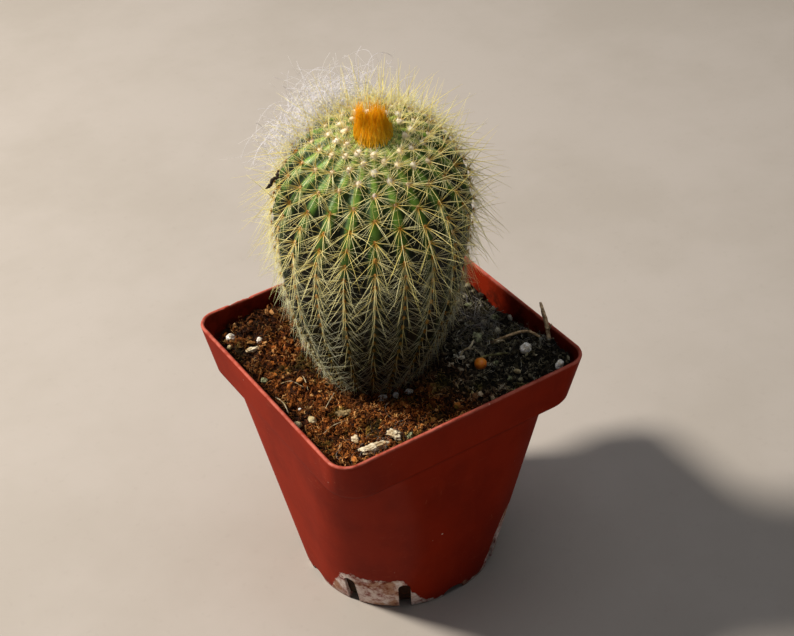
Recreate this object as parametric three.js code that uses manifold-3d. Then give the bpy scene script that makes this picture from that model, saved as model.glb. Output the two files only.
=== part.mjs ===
// Potted round cactus: a square nursery pot, its soil, a ribbed barrel cactus and loose bits on the soil.
// Millimetres, +Z up. The origin is the middle of the pot's foot; the pot's sides run along X and Y.
import * as THREE from 'three';
import { mergeVertices } from 'three/addons/utils/BufferGeometryUtils.js';
import Module from 'manifold-3d';

const wasm = await Module();
wasm.setup();

// ---- driving dimensions -------------------------------------------------------------------------
const GAP = 0.3; // clearance between pieces that touch
const POT_HEIGHT = 85.9;
const RIM_SIDE = 89; // a 3.5 inch square pot
const RIM_CORNER = 6.9;
const COLLAR_DEPTH = 15.4;
const COLLAR_SIDE = 85.7; // lower edge of the collar
const COLLAR_CORNER = 10.6;
const SHOULDER_DROP = 1.6; // step under the collar
const BODY_SIDE = 82.1; // body just under the step
const BODY_CORNER = 21.4;
const FOOT_SIDE = 64.3; // the foot is nearly round
const FOOT_CORNER = 30.7;
const WALL = 1.2;
const FLOOR = 1.6;

const DRAIN_COUNT = 12; // every third one is a low notch, the others are tall slots
const SLOT_WIDTH = 4;
const SLOT_HEIGHT = 12.8;
const NOTCH_WIDTH = 8;
const NOTCH_HEIGHT = 3;
const FOOT_BITE = 3.6; // how far a drain cut runs in under the floor

const RIBS = 21;
const STEM_BASE = new THREE.Vector3(-3.7, 4.6, 74); // middle of the stem at the soil
const STEM_AXIS = new THREE.Vector3(2.8, -5.8, 85.7).normalize();
const FRONT_RIB = THREE.MathUtils.degToRad(-120.8); // heading of the first rib round the stem
const STEM_RADIUS = 28.7; // at the shoulder, its widest place
const SHOULDER_HEIGHT = 62.1; // along the stem's axis, above its base
const CROWN_RISE = 23.8; // from the shoulder to the apex
const CROWN_POWER = 1.73; // 2 makes an even dome, less makes its slopes straighter
const FLANK_POWER = 2.17; // how long the flank stays wide below the shoulder
const CROWN_LEAN = 0.29; // the crown tips to the front: its rise per millimetre towards the back
const LEAN_HEADING = THREE.MathUtils.degToRad(49); // heading of the crown's raised back
const LEAN_START = 18; // along the axis, where the lean begins, and where it is full
const LEAN_END = 69.2;
const BASE_RADIUS = 14;
const BURIED_LENGTH = 17;
const RIB_DEPTH = 0.13; // part of the radius

const ROW_THICK = 0.6;
const ROW_HEIGHT = 1.0;
const TUFT_RADIUS = 5.1;
const TUFT_HEIGHT = 10.4;
const TUFT_LEFT = new THREE.Vector2(-0.84, 0.54); // towards the left flame
const HAIR_MIDDLE = 53; // along the stem's axis: the point that the hair mat curves round
const HAIR_INNER = 43; // the mat's distances from that point
const HAIR_OUTER = 47.0;
const HAIR_HEADING = new THREE.Vector3(-0.24, 0.61, 0.76);

const SOIL_LEVEL = 76;
const SOIL_LUMP = 0.35;

const COLOURS = {
  pot: 0xa5452b,
  soil: 0x4a2813,
  stem: 0x3f6b2a,
  spine: 0xdcc878,
  tuft: 0xd98a1e,
  hair: 0xe6dccb,
  perlite: 0xe9e4d6,
  cream: 0xcdbb93,
  bead: 0xd07a1e,
  bark: 0xc9b88e,
  wood: 0x8a7350,
  root: 0x6e4d2c,
  fibre: 0xcfc0a2,
  debris: 0x2c1d14,
};

// ---- helpers ------------------------------------------------------------------------------------

/** A closed skin over rings of equal length, from the first ring's middle to the last ring's middle. */
function loft(rings) {
  const count = rings[0].length;
  const points = rings.flat();
  const index = [];
  for (let level = 0; level + 1 < rings.length; level++) {
    for (let i = 0; i < count; i++) {
      const a = level * count + i;
      const b = level * count + ((i + 1) % count);
      index.push(a, b, b + count, a, b + count, a + count);
    }
  }
  const last = (rings.length - 1) * count;
  const start = points.push(middleOf(rings[0])) - 1;
  const end = points.push(middleOf(rings.at(-1))) - 1;
  for (let i = 0; i < count; i++) {
    const next = (i + 1) % count;
    index.push(start, next, i, end, last + i, last + next);
  }
  const geometry = new THREE.BufferGeometry().setFromPoints(points);
  geometry.setIndex(index);
  return geometry;
}

function middleOf(ring) {
  const sum = new THREE.Vector3();
  ring.forEach((point) => sum.add(point));
  return sum.divideScalar(ring.length);
}

/** One level ring of a square with round corners, anticlockwise, with extra points along its sides. */
function squareRing(side, corner, z, cornerSteps = 8, sideSteps = 1) {
  const arcMiddle = side / 2 - corner;
  const ring = [];
  for (let quarter = 0; quarter < 4; quarter++) {
    const turn = (quarter * Math.PI) / 2;
    const up = new THREE.Vector2(0, 1).rotateAround(new THREE.Vector2(), turn);
    const middle = new THREE.Vector2(arcMiddle, arcMiddle).rotateAround(new THREE.Vector2(), turn);
    const edge = new THREE.Vector2(side / 2, 0).rotateAround(new THREE.Vector2(), turn);
    for (let i = 0; i < sideSteps - 1; i++) {
      const along = edge.clone().addScaledVector(up, (2 * (i + 1) / sideSteps - 1) * arcMiddle);
      ring.push(new THREE.Vector3(along.x, along.y, z));
    }
    for (let i = 0; i <= cornerSteps; i++) {
      const angle = turn + ((i / cornerSteps) * Math.PI) / 2;
      const x = middle.x + corner * Math.cos(angle);
      const y = middle.y + corner * Math.sin(angle);
      ring.push(new THREE.Vector3(x, y, z));
    }
  }
  return ring;
}

function toSolid(geometry) {
  const bare = new THREE.BufferGeometry();
  bare.setAttribute('position', geometry.getAttribute('position').clone());
  if (geometry.index) bare.setIndex(geometry.index.clone());
  const merged = mergeVertices(bare, 1e-4);
  return new wasm.Manifold(new wasm.Mesh({
    numProp: 3,
    vertProperties: new Float32Array(merged.attributes.position.array),
    triVerts: new Uint32Array(merged.index.array),
  }));
}

function toGeometry(solid) {
  const mesh = solid.getMesh();
  const geometry = new THREE.BufferGeometry();
  geometry.setAttribute('position', new THREE.BufferAttribute(new Float32Array(mesh.vertProperties), 3));
  geometry.setIndex(new THREE.BufferAttribute(new Uint32Array(mesh.triVerts), 1));
  return geometry;
}

function cutAll(geometry, cutters) {
  let solid = toSolid(geometry);
  cutters.forEach((cutter) => {
    solid = solid.subtract(toSolid(cutter));
  });
  return toGeometry(solid);
}

function named(name, geometry, colour, roughness) {
  geometry.computeVertexNormals();
  const material = new THREE.MeshStandardMaterial({ color: colour, roughness, metalness: 0 });
  const mesh = new THREE.Mesh(geometry, material);
  mesh.name = name;
  return mesh;
}

const numbered = (stem, number) => `${stem}_${String(number).padStart(2, '0')}`;

/** A rod of round section along a smooth curve. */
function rod(points, radius, steps = 10, sides = 8) {
  const curve = new THREE.CatmullRomCurve3(points);
  const section = new THREE.Shape();
  for (let i = 0; i < sides; i++) {
    const angle = (i / sides) * 2 * Math.PI;
    const corner = [radius * Math.cos(angle), radius * Math.sin(angle)];
    if (i === 0) section.moveTo(...corner);
    else section.lineTo(...corner);
  }
  return new THREE.ExtrudeGeometry(section, { steps, extrudePath: curve, bevelEnabled: false });
}

/** An uneven grain: half sizes along X, Y and Z, and a seed that sets its dents. */
function grainGeometry(size, seed) {
  const geometry = new THREE.DodecahedronGeometry(1);
  geometry.deleteAttribute('normal');
  geometry.deleteAttribute('uv');
  const grain = mergeVertices(geometry, 1e-3);
  const position = grain.attributes.position;
  const point = new THREE.Vector3();
  for (let i = 0; i < position.count; i++) {
    point.fromBufferAttribute(position, i);
    const ridge = 0.08 * Math.abs(Math.sin(4 * point.x + 2 * seed));
    const hollow = 0.07 * Math.cos(5 * point.y - 3 * seed) ** 2;
    point.multiplyScalar(1 - ridge - hollow);
    position.setXYZ(i, point.x * size[0], point.y * size[1], point.z * size[2]);
  }
  return grain;
}

/** A twenty-sided seat that holds a grain of these half sizes with clearance all round. */
function seatGeometry(size) {
  const holdsUnitBall = 1.27;
  const seat = new THREE.IcosahedronGeometry(holdsUnitBall);
  return seat.scale(...size.map((half) => half + GAP));
}

// ---- pot ----------------------------------------------------------------------------------------

const COLLAR_BOTTOM = POT_HEIGHT - COLLAR_DEPTH;
const BODY_TOP = COLLAR_BOTTOM - SHOULDER_DROP;

/** The inner wall's rings from the floor to just under the rim, drawn in by a clearance. */
function innerRings(clearance, cornerSteps, sideSteps) {
  const inset = WALL + clearance;
  const ring = (side, corner, z) =>
    squareRing(side - 2 * inset, corner - inset, z, cornerSteps, sideSteps);
  return {
    floor: ring(FOOT_SIDE, FOOT_CORNER, FLOOR + clearance),
    bodyTop: ring(BODY_SIDE, BODY_CORNER, BODY_TOP),
    collarBottom: ring(COLLAR_SIDE, COLLAR_CORNER, COLLAR_BOTTOM + 0.4),
    rim: ring(RIM_SIDE, RIM_CORNER, POT_HEIGHT - 0.4),
  };
}

function archShape(width, height, rise) {
  const shape = new THREE.Shape();
  shape.moveTo(-width / 2, -1);
  shape.lineTo(width / 2, -1);
  shape.lineTo(width / 2, height - rise);
  shape.absellipse(0, height - rise, width / 2, rise, 0, Math.PI, false, 0);
  shape.closePath();
  return shape;
}

function drainCutters() {
  const cutters = [];
  for (let i = 0; i < DRAIN_COUNT; i++) {
    const isNotch = i % 3 === 0;
    const shape = isNotch
      ? archShape(NOTCH_WIDTH, NOTCH_HEIGHT, NOTCH_HEIGHT - 0.6)
      : archShape(SLOT_WIDTH, SLOT_HEIGHT, SLOT_WIDTH / 2);
    const cutter = new THREE.ExtrudeGeometry(shape, { depth: 12, bevelEnabled: false, curveSegments: 5 });
    cutter.rotateX(Math.PI / 2);
    cutter.translate(0, -(FOOT_SIDE / 2 - FOOT_BITE), 0);
    cutter.rotateZ((i / DRAIN_COUNT) * 2 * Math.PI + Math.PI / 2);
    cutters.push(cutter);
  }
  return cutters;
}

function makePot() {
  const lip = 0.35; // soft edge of the rim
  const inner = innerRings(0, 8, 1);
  const shell = loft([
    squareRing(FOOT_SIDE, FOOT_CORNER, 0),
    squareRing(BODY_SIDE, BODY_CORNER, BODY_TOP),
    squareRing(COLLAR_SIDE - 1, COLLAR_CORNER, COLLAR_BOTTOM - 0.2),
    squareRing(COLLAR_SIDE, COLLAR_CORNER, COLLAR_BOTTOM + 0.4),
    squareRing(RIM_SIDE, RIM_CORNER, POT_HEIGHT - 0.4),
    squareRing(RIM_SIDE - 2 * lip, RIM_CORNER - lip, POT_HEIGHT),
    squareRing(RIM_SIDE - 2 * (WALL - lip), RIM_CORNER - WALL + lip, POT_HEIGHT),
    inner.rim,
    inner.collarBottom,
    inner.bodyTop,
    inner.floor,
  ]);
  return named('pot', cutAll(shell, drainCutters()), COLOURS.pot, 0.35);
}

// ---- cactus -------------------------------------------------------------------------------------

/** Crest radius at a distance along the stem's axis from the soil; it rounds off underground. */
function crestRadius(along) {
  if (along > SHOULDER_HEIGHT) {
    const rise = Math.min((along - SHOULDER_HEIGHT) / CROWN_RISE, 1);
    return STEM_RADIUS * (1 - rise ** CROWN_POWER) ** (1 / CROWN_POWER);
  }
  if (along >= 0) {
    const drop = (SHOULDER_HEIGHT - along) / SHOULDER_HEIGHT;
    return STEM_RADIUS - (STEM_RADIUS - BASE_RADIUS) * drop ** FLANK_POWER;
  }
  const buried = Math.min(-along / BURIED_LENGTH, 1);
  return BASE_RADIUS * Math.sqrt(1 - buried ** 2);
}

/** The line over a rib's crest from the apex down to the soil, as (radius, 0, along the axis). */
class CrestLine extends THREE.Curve {
  getPoint(t, target = new THREE.Vector3()) {
    const onCrown = Math.min(2 * t, 1); // half of the steps lie on the crown, half on the flank
    const onFlank = Math.max(2 * t - 1, 0);
    const turn = onCrown * (Math.PI / 2);
    const rise = CROWN_RISE * Math.max(Math.cos(turn), 0) ** (2 / CROWN_POWER);
    const along = onFlank > 0 ? SHOULDER_HEIGHT * (1 - onFlank) : SHOULDER_HEIGHT + rise;
    const radius = onFlank > 0 ? crestRadius(along) : STEM_RADIUS * Math.sin(turn) ** (2 / CROWN_POWER);
    return target.set(radius, 0, along);
  }
}

const crestLine = new CrestLine();
crestLine.arcLengthDivisions = 800;

/** A point on a rib's crest at a distance over the skin from the apex: (radius, along the axis). */
function meridian(distance) {
  const { x, z } = crestLine.getPointAt(THREE.MathUtils.clamp(distance / crestLine.getLength(), 0, 1));
  return new THREE.Vector2(x, z);
}

function meridianNormal(distance) {
  const tangent = meridian(distance + 0.5).sub(meridian(distance - 0.5)).normalize();
  return new THREE.Vector2(-tangent.y, tangent.x);
}

/** Tips the crown of a piece of the plant to the front: its back rises and the foot stays. */
function leaned(geometry) {
  const { position } = geometry.attributes;
  for (let i = 0; i < position.count; i++) {
    const part = THREE.MathUtils.smoothstep(position.getZ(i), LEAN_START, LEAN_END);
    const back = position.getX(i) * Math.cos(LEAN_HEADING) + position.getY(i) * Math.sin(LEAN_HEADING);
    position.setZ(i, position.getZ(i) + CROWN_LEAN * back * part);
  }
  return geometry;
}

function stemRing(along) {
  const pointsPerRib = 4;
  const crest = crestRadius(along);
  const fade = THREE.MathUtils.smoothstep(along, -10, 2);
  const ring = [];
  for (let i = 0; i < RIBS * pointsPerRib; i++) {
    const phase = (i / pointsPerRib) * Math.PI;
    const groove = 1 - Math.abs(Math.cos(phase)) ** 0.8;
    const radius = crest - crest * RIB_DEPTH * fade * groove;
    const angle = FRONT_RIB + (i / (RIBS * pointsPerRib)) * 2 * Math.PI;
    ring.push(new THREE.Vector3(radius * Math.cos(angle), radius * Math.sin(angle), along));
  }
  return ring;
}

/** The stem's skin in its own frame: +Z along its axis, Z = 0 at the soil. */
function stemGeometry() {
  const rings = [];
  const buriedSteps = 3;
  for (let i = 0; i < buriedSteps; i++) {
    const along = -BURIED_LENGTH * Math.cos(((i + 0.35) / buriedSteps) * (Math.PI / 2));
    rings.push(stemRing(along));
  }
  const wallSteps = 7;
  for (let i = 0; i < wallSteps; i++) rings.push(stemRing((i / wallSteps) * SHOULDER_HEIGHT));
  const crownSteps = 10;
  for (let i = crownSteps; i >= 1; i--) {
    const turn = ((i - 0.1) / crownSteps) * (Math.PI / 2);
    rings.push(stemRing(SHOULDER_HEIGHT + CROWN_RISE * Math.cos(turn) ** (2 / CROWN_POWER)));
  }
  return leaned(loft(rings));
}

const FIRST_AREOLE = 7.3;
const LAST_AREOLE = 97;
const PHASE_STEP = 10 / 21; // each rib's areoles start this part of a space below those of the rib before

/** Space between a rib's areoles: wide on the crown and the flank, close on the shoulder and low down. */
const areoleSpacing = (distance) =>
  3.1 + 2.9 * Math.exp(-(((distance - 16) / 11) ** 2)) + 2.1 * Math.exp(-(((distance - 57) / 22) ** 2));

/** Distances of a rib's areoles from the apex. */
function areoleDistances(rib) {
  const distances = [];
  let distance = FIRST_AREOLE + ((rib * PHASE_STEP) % 1) * areoleSpacing(FIRST_AREOLE);
  while (distance < LAST_AREOLE) {
    distances.push(distance);
    distance += areoleSpacing(distance);
  }
  return distances;
}

/** Length and downward bend of the longest spine of an areole. */
function longSpine(distance) {
  const length = THREE.MathUtils.lerp(5.4, 3.4, THREE.MathUtils.smoothstep(distance, 20, 80));
  const bend = THREE.MathUtils.lerp(-0.15, 0.7, THREE.MathUtils.smoothstep(distance, 10, 60));
  return { length: Math.min(length, 3.4 + 0.25 * distance), bend };
}

/** One row of joined areoles and spines: a toothed strip that follows the crest of a rib. */
function spineRowGeometry(rib) {
  const distances = areoleDistances(rib);
  const offset = (distance, out) =>
    meridian(distance).addScaledVector(meridianNormal(distance), out);
  const outline = [];
  const innerSteps = 20;
  const first = distances[0] - 0.8;
  const last = distances.at(-1) + 1.2;
  for (let i = 0; i <= innerSteps; i++) {
    outline.push(offset(THREE.MathUtils.lerp(first, last, i / innerSteps), GAP + 0.05));
  }
  distances.reverse().forEach((distance) => {
    const { length, bend } = longSpine(distance);
    const normal = meridianNormal(distance);
    const down = new THREE.Vector2(normal.y, -normal.x);
    const lean = normal.clone().addScaledVector(down, bend).normalize();
    outline.push(offset(distance + 1.1, GAP + ROW_HEIGHT));
    outline.push(offset(distance, GAP + ROW_HEIGHT).addScaledVector(lean, length));
  });
  outline.push(offset(first, GAP + ROW_HEIGHT));
  const shape = new THREE.Shape(outline);
  const strip = new THREE.ExtrudeGeometry(shape, { depth: ROW_THICK, bevelEnabled: false });
  strip.translate(0, 0, -ROW_THICK / 2);
  strip.rotateX(Math.PI / 2);
  strip.rotateZ(FRONT_RIB + (rib / RIBS) * 2 * Math.PI);
  return leaned(strip);
}

/** The golden tuft: a round base that closes up into two flame-like points. */
function tuftGeometry() {
  const flame = (height, lean) => {
    const profile = [[0, 0], [TUFT_RADIUS, 0.4], [TUFT_RADIUS * 0.92, height * 0.3],
      [TUFT_RADIUS * 0.62, height * 0.6], [TUFT_RADIUS * 0.25, height * 0.85], [0, height]];
    const lathe = new THREE.LatheGeometry(profile.map(([x, y]) => new THREE.Vector2(x, y)), 14);
    lathe.rotateX(Math.PI / 2);
    const { x, y } = TUFT_LEFT.clone().multiplyScalar(lean);
    const shear = new THREE.Matrix4().set(1, 0, x, 0, 0, 1, y, 0, 0, 0, 1, 0, 0, 0, 0, 1);
    return lathe.applyMatrix4(shear);
  };
  const tuft = toSolid(flame(TUFT_HEIGHT, -0.1)).add(toSolid(flame(TUFT_HEIGHT * 0.92, 0.34)));
  return leaned(toGeometry(tuft).translate(0, 0, SHOULDER_HEIGHT + CROWN_RISE + GAP));
}

/** The hair mat: a curved pad over the back-left shoulder, in the stem's frame. */
function hairGeometry() {
  const sides = 20;
  const levels = 4;
  const halfWide = THREE.MathUtils.degToRad(35);
  const halfDeep = THREE.MathUtils.degToRad(17);
  const middle = (HAIR_INNER + HAIR_OUTER) / 2;
  const halfThick = (HAIR_OUTER - HAIR_INNER) / 2;
  const ring = (reach, side) => {
    const thick = halfThick * Math.sqrt(1 - reach ** 2) + 0.3;
    return Array.from({ length: sides }, (_, i) => {
      const angle = (i / sides) * 2 * Math.PI;
      const wide = reach * halfWide * Math.cos(angle);
      const deep = reach * halfDeep * Math.sin(angle);
      const point = new THREE.Vector3(0, Math.sin(deep), Math.cos(deep)).multiplyScalar(Math.cos(wide));
      return point.setX(Math.sin(wide)).multiplyScalar(middle + side * thick);
    });
  };
  const rings = [];
  for (let i = 1; i <= levels; i++) rings.push(ring(i / levels, -1));
  for (let i = levels; i >= 1; i--) rings.push(ring(i / levels, 1));
  return loft(rings);
}

function makePlant() {
  const plant = new THREE.Group();
  plant.position.copy(STEM_BASE);
  plant.quaternion.setFromUnitVectors(new THREE.Vector3(0, 0, 1), STEM_AXIS);

  plant.add(named('cactus_stem', stemGeometry(), COLOURS.stem, 0.55));
  for (let rib = 0; rib < RIBS; rib++) {
    plant.add(named(numbered('spine_row', rib + 1), spineRowGeometry(rib), COLOURS.spine, 0.5));
  }

  plant.add(named('apical_tuft', tuftGeometry(), COLOURS.tuft, 0.6));

  const hair = named('crown_hair', hairGeometry(), COLOURS.hair, 0.8);
  hair.position.z = HAIR_MIDDLE;
  hair.quaternion.setFromUnitVectors(new THREE.Vector3(0, 0, 1), HAIR_HEADING.clone().normalize());
  plant.add(hair);

  plant.updateMatrixWorld(true);
  return plant;
}

// ---- soil surface -------------------------------------------------------------------------------

/** Height of the soil: mounds at the back-left wall and front-right corner, a hollow round the stem. */
function soilHeight(x, y) {
  const mound = (cx, cy, reach) => Math.exp(-((x - cx) ** 2 + (y - cy) ** 2) / reach ** 2);
  const fromStem = Math.hypot(x - STEM_BASE.x, y - STEM_BASE.y);
  return SOIL_LEVEL
    + 5 * mound(-24, 43, 15)
    + 5.5 * mound(43, -31, 15)
    + 2 * Math.exp(-(((x - 43) / 8) ** 2))
    - 1.5 * Math.exp(-(((fromStem - 16) / 7) ** 2));
}

// ---- loose bits on the soil ---------------------------------------------------------------------

// name, [x, y] on the soil, [half sizes], turn in degrees, depth (part of its half height), colour
const GRAINS = [
  ['perlite_01', [-35.7, 37.0], [1.5, 1.4, 1.3], 20, 0.3, 'perlite'],
  ['perlite_02', [-37.9, 34.0], [0.9, 0.9, 0.8], 0, 0.3, 'cream'],
  ['perlite_03', [-29.0, 30.6], [1.2, 0.9, 0.9], 60, 0.3, 'perlite'],
  ['perlite_04', [-34.3, -3.6], [0.5, 0.5, 0.45], 0, 0.2, 'perlite'],
  ['perlite_05', [-33.7, -10.4], [1.5, 1.2, 1.1], 100, 0.3, 'cream'],
  ['perlite_06', [-10.5, -12.9], [1.4, 1.2, 1.1], 10, 0.3, 'perlite'],
  ['perlite_07', [-6.6, -14.1], [1.2, 0.9, 0.9], 70, 0.3, 'perlite'],
  ['perlite_08', [-2.4, -15.0], [1.3, 0.9, 0.8], 150, 0.3, 'perlite'],
  ['perlite_09', [34.6, -24.9], [1.9, 1.7, 1.6], 30, 0.3, 'perlite'],
  ['perlite_10', [27.7, -29.9], [1.2, 0.8, 0.8], 120, 0.3, 'cream'],
  ['perlite_11', [20.2, -10.4], [0.9, 0.7, 0.7], 40, 0.3, 'perlite'],
  ['perlite_12', [28.7, -6.9], [1.3, 0.9, 0.8], 0, 0.3, 'cream'],
  ['perlite_13', [-38.6, -9.8], [1.2, 1.3, 1.2], 30, 0.3, 'cream'],
  ['perlite_14', [37.4, -38.0], [1.7, 1.0, 1.3], 20, 0.3, 'perlite'],
  ['bark_chip_01', [-25.3, -31.4], [4.4, 1.6, 1.1], -12, 0.25, 'bark'],
  ['bark_chip_02', [-32.4, 28.6], [2.3, 1.0, 0.8], -17, 0.25, 'bark'],
  ['bark_chip_03', [-24.2, -13.2], [2.6, 1.3, 0.8], -30, 0.25, 'wood'],
  ['bark_chip_04', [-17.4, -30.2], [1.6, 2.4, 1.1], 15, 0.25, 'bark'],
  ['bark_chip_05', [-27.9, -25.2], [1.1, 1.8, 0.9], -20, 0.25, 'bark'],
  ['fertilizer_bead', [21.6, -19.1], [2.0, 2.0, 1.9], 0, 0.3, 'bead'],
];

function grainMatrix([, [x, y], size, degrees, sunk]) {
  const matrix = new THREE.Matrix4().makeRotationZ(THREE.MathUtils.degToRad(degrees));
  return matrix.setPosition(x, y, soilHeight(x, y) + size[2] * (1 - 2 * sunk));
}

function makeGrains() {
  return GRAINS.map((row, seed) => {
    const grain = named(row[0], grainGeometry(row[2], seed), COLOURS[row[5]], 0.85);
    grain.applyMatrix4(grainMatrix(row));
    return grain;
  });
}

const TWIG = { radius: 0.75, colour: 'wood',
  points: [[41.3, -28.8, 79.2], [41.5, -27.6, 82.8], [41.9, -25.3, 88.4], [42.4, -21.8, 93.2]] };
const ROOT = { radius: 0.6, colour: 'root',
  points: [[30.0, -10.2, 74.8], [33.9, -14.9, 79.2], [38.9, -19.2, 81.9], [40.4, -24.9, 82.4]] };

/** Loose fibres: each lies from one point to another, with heights above the soil. */
const FIBRES = [
  [[-25.9, 8.7, 1.6], [-27.6, 2.7, 0.5]],
  [[-22.1, -3.8, 1.9], [-29.0, -9.0, 0.6]],
  [[-25.8, -16.9, 1.0], [-34.6, -18.0, 0.9]],
  [[-33.0, -25.2, 1.2], [-35.4, -27.2, 0.4]],
];
const FIBRE_RADIUS = 0.22;

const toVectors = (points) => points.map((point) => new THREE.Vector3(...point));

function fibrePoints([from, to]) {
  const lift = ([x, y, above]) => new THREE.Vector3(x, y, soilHeight(x, y) + above);
  const start = lift(from);
  const end = lift(to);
  const middle = start.clone().lerp(end, 0.5);
  middle.z += 0.4;
  return [start, middle, end];
}

function makeRods() {
  const rods = [['dry_twig', TWIG], ['root_strand', ROOT]].map(([name, { points, radius, colour }]) =>
    named(name, rod(toVectors(points), radius), COLOURS[colour], 0.85));
  FIBRES.forEach((fibre, i) => {
    const geometry = rod(fibrePoints(fibre), FIBRE_RADIUS, 4, 6);
    rods.push(named(numbered('fibre', i + 1), geometry, COLOURS.fibre, 0.8));
  });
  return rods;
}

/** The dark flake that hangs in the spines left of the crown. */
function makeDebris() {
  const debris = named('debris_chip', grainGeometry([3.2, 0.8, 0.5], 5), COLOURS.debris, 0.9);
  debris.position.set(-29, 7.5, 149.8);
  const along = new THREE.Vector3(0.78, 0.09, 0.62).normalize();
  debris.quaternion.setFromUnitVectors(new THREE.Vector3(1, 0, 0), along);
  return debris;
}

// ---- soil ---------------------------------------------------------------------------------------

/** The hollow that holds the foot of the stem, in the stem's frame. */
function socketGeometry() {
  const steps = 5;
  const clearance = GAP + 0.1;
  const profile = [new THREE.Vector2(0, -BURIED_LENGTH - clearance)];
  for (let i = 0; i <= steps; i++) {
    const along = -BURIED_LENGTH * Math.cos(((i + 0.35) / (steps + 0.35)) * (Math.PI / 2));
    profile.push(new THREE.Vector2(crestRadius(along) + clearance, along - clearance));
  }
  const top = 8;
  profile.push(new THREE.Vector2(crestRadius(top) + clearance, top), new THREE.Vector2(0, top));
  return new THREE.LatheGeometry(profile, 32).rotateX(Math.PI / 2);
}

/** The soil block with a socket for the stem and a seat for each bit that sits in it. */
function makeSoil(plant) {
  const inner = innerRings(GAP + 0.1, 4, 7);
  const wallRing = inner.rim.map((rim, i) => {
    const low = inner.collarBottom[i];
    const level = soilHeight(low.x, low.y) - 0.6;
    return low.clone().lerp(rim, (level - low.z) / (rim.z - low.z));
  });
  const rings = [inner.floor, inner.bodyTop, inner.collarBottom, wallRing];
  const crossings = [0.06, 0.2, 0.36, 0.52, 0.68, 0.84];
  crossings.forEach((part) => {
    rings.push(wallRing.map((edge) => {
      const x = THREE.MathUtils.lerp(edge.x, STEM_BASE.x, part);
      const y = THREE.MathUtils.lerp(edge.y, STEM_BASE.y, part);
      const lump = SOIL_LUMP * (Math.sin(0.9 * x + 0.4 * y) + Math.cos(0.7 * y - 0.5 * x));
      return new THREE.Vector3(x, y, soilHeight(x, y) + lump);
    }));
  });
  const cutters = [socketGeometry().applyMatrix4(plant.matrixWorld)];
  GRAINS.forEach((row) => cutters.push(seatGeometry(row[2]).applyMatrix4(grainMatrix(row))));
  [TWIG, ROOT].forEach(({ points, radius }) => {
    const seat = toVectors(points);
    seat[0].add(seat[0].clone().sub(seat[1]).setLength(GAP));
    cutters.push(rod(seat, radius + GAP));
  });
  FIBRES.forEach((fibre) => cutters.push(rod(fibrePoints(fibre), FIBRE_RADIUS + GAP, 4, 6)));
  return named('soil', cutAll(loft(rings), cutters), COLOURS.soil, 0.95);
}

// ---- the whole object ---------------------------------------------------------------------------

const plant = makePlant();
const cactus = new THREE.Group();
cactus.add(makePot(), makeSoil(plant), plant, ...makeGrains(), ...makeRods(), makeDebris());

export default cactus;
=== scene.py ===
"""Looks of a potted round cactus: ribs, spines, wool, hair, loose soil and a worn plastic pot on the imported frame.

Pieces are shaped in millimetres and made metres as they are finished. +Z is up, the foot of the pot is centred on
the origin, and the pot's sides run along X and Y.
"""

import math

import bmesh
import bpy
import numpy as np
from mathutils import Matrix, Vector, noise


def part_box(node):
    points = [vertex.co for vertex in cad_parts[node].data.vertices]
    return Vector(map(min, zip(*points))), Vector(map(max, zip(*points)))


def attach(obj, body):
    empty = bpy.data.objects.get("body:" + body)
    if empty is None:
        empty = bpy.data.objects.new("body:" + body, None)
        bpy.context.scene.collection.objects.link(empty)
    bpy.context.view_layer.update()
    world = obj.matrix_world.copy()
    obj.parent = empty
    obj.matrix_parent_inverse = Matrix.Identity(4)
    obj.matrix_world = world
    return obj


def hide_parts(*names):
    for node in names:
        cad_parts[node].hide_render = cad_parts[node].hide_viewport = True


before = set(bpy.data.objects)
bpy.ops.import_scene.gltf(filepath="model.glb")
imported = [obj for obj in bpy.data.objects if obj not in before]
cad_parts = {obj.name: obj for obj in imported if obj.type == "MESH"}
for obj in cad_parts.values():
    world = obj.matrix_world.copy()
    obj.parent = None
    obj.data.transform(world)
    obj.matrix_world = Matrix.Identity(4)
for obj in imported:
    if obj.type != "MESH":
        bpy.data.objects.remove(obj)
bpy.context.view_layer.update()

MM = 0.001

# ---- sizes in millimetres -----------------------------------------------------------------------
RIM_SIDE = (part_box("pot")[1].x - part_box("pot")[0].x) / MM
POT_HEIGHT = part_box("pot")[1].z / MM
RIM_CORNER = 6.9
COLLAR_BOTTOM = POT_HEIGHT - 15.4
COLLAR_SIDE = 85.7
COLLAR_CORNER = 10.6
BODY_TOP = COLLAR_BOTTOM - 1.6
BODY_SIDE = 82.1
BODY_CORNER = 21.4
FOOT_SIDE = 64.3
FOOT_CORNER = 30.7
WALL = 1.2
FLOOR = 1.6
DRAIN_COUNT = 12
SLOT = (4.0, 12.8, 2.0)
NOTCH = (8.0, 3.0, 2.4)
FOOT_BITE = 3.6

RIBS = 21
STEM_BASE = Vector((-3.7, 4.6, 74.0))
STEM_AXIS = Vector((2.8, -5.8, 85.7)).normalized()
FRONT_RIB = math.radians(-120.8)
STEM_RADIUS = 28.7
SHOULDER_HEIGHT = 62.1
CROWN_RISE = 23.8
CROWN_POWER = 1.73
FLANK_POWER = 2.17
CROWN_LEAN = 0.29
LEAN_HEADING = math.radians(49)
LEAN_START, LEAN_END = 18, 69.2
BASE_RADIUS = 14
BURIED_LENGTH = 17
RIB_DEPTH = 0.13
STEPS_PER_RIB = 12
STEM_RINGS = 130
FIRST_AREOLE = 7.3
LAST_AREOLE = 102
PHASE_STEP = 10 / 21
TUBERCLE = 0.32
SOIL_LEVEL = 76
SOIL_EDGE = 77.5
HIGHEST = 174.5
WIDEST = 46.8

tilt = Vector((0, 0, 1)).rotation_difference(STEM_AXIS)
PLANT = np.array(Matrix.Translation(STEM_BASE) @ tilt.to_matrix().to_4x4())


# ---- shaping ------------------------------------------------------------------------------------

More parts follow.
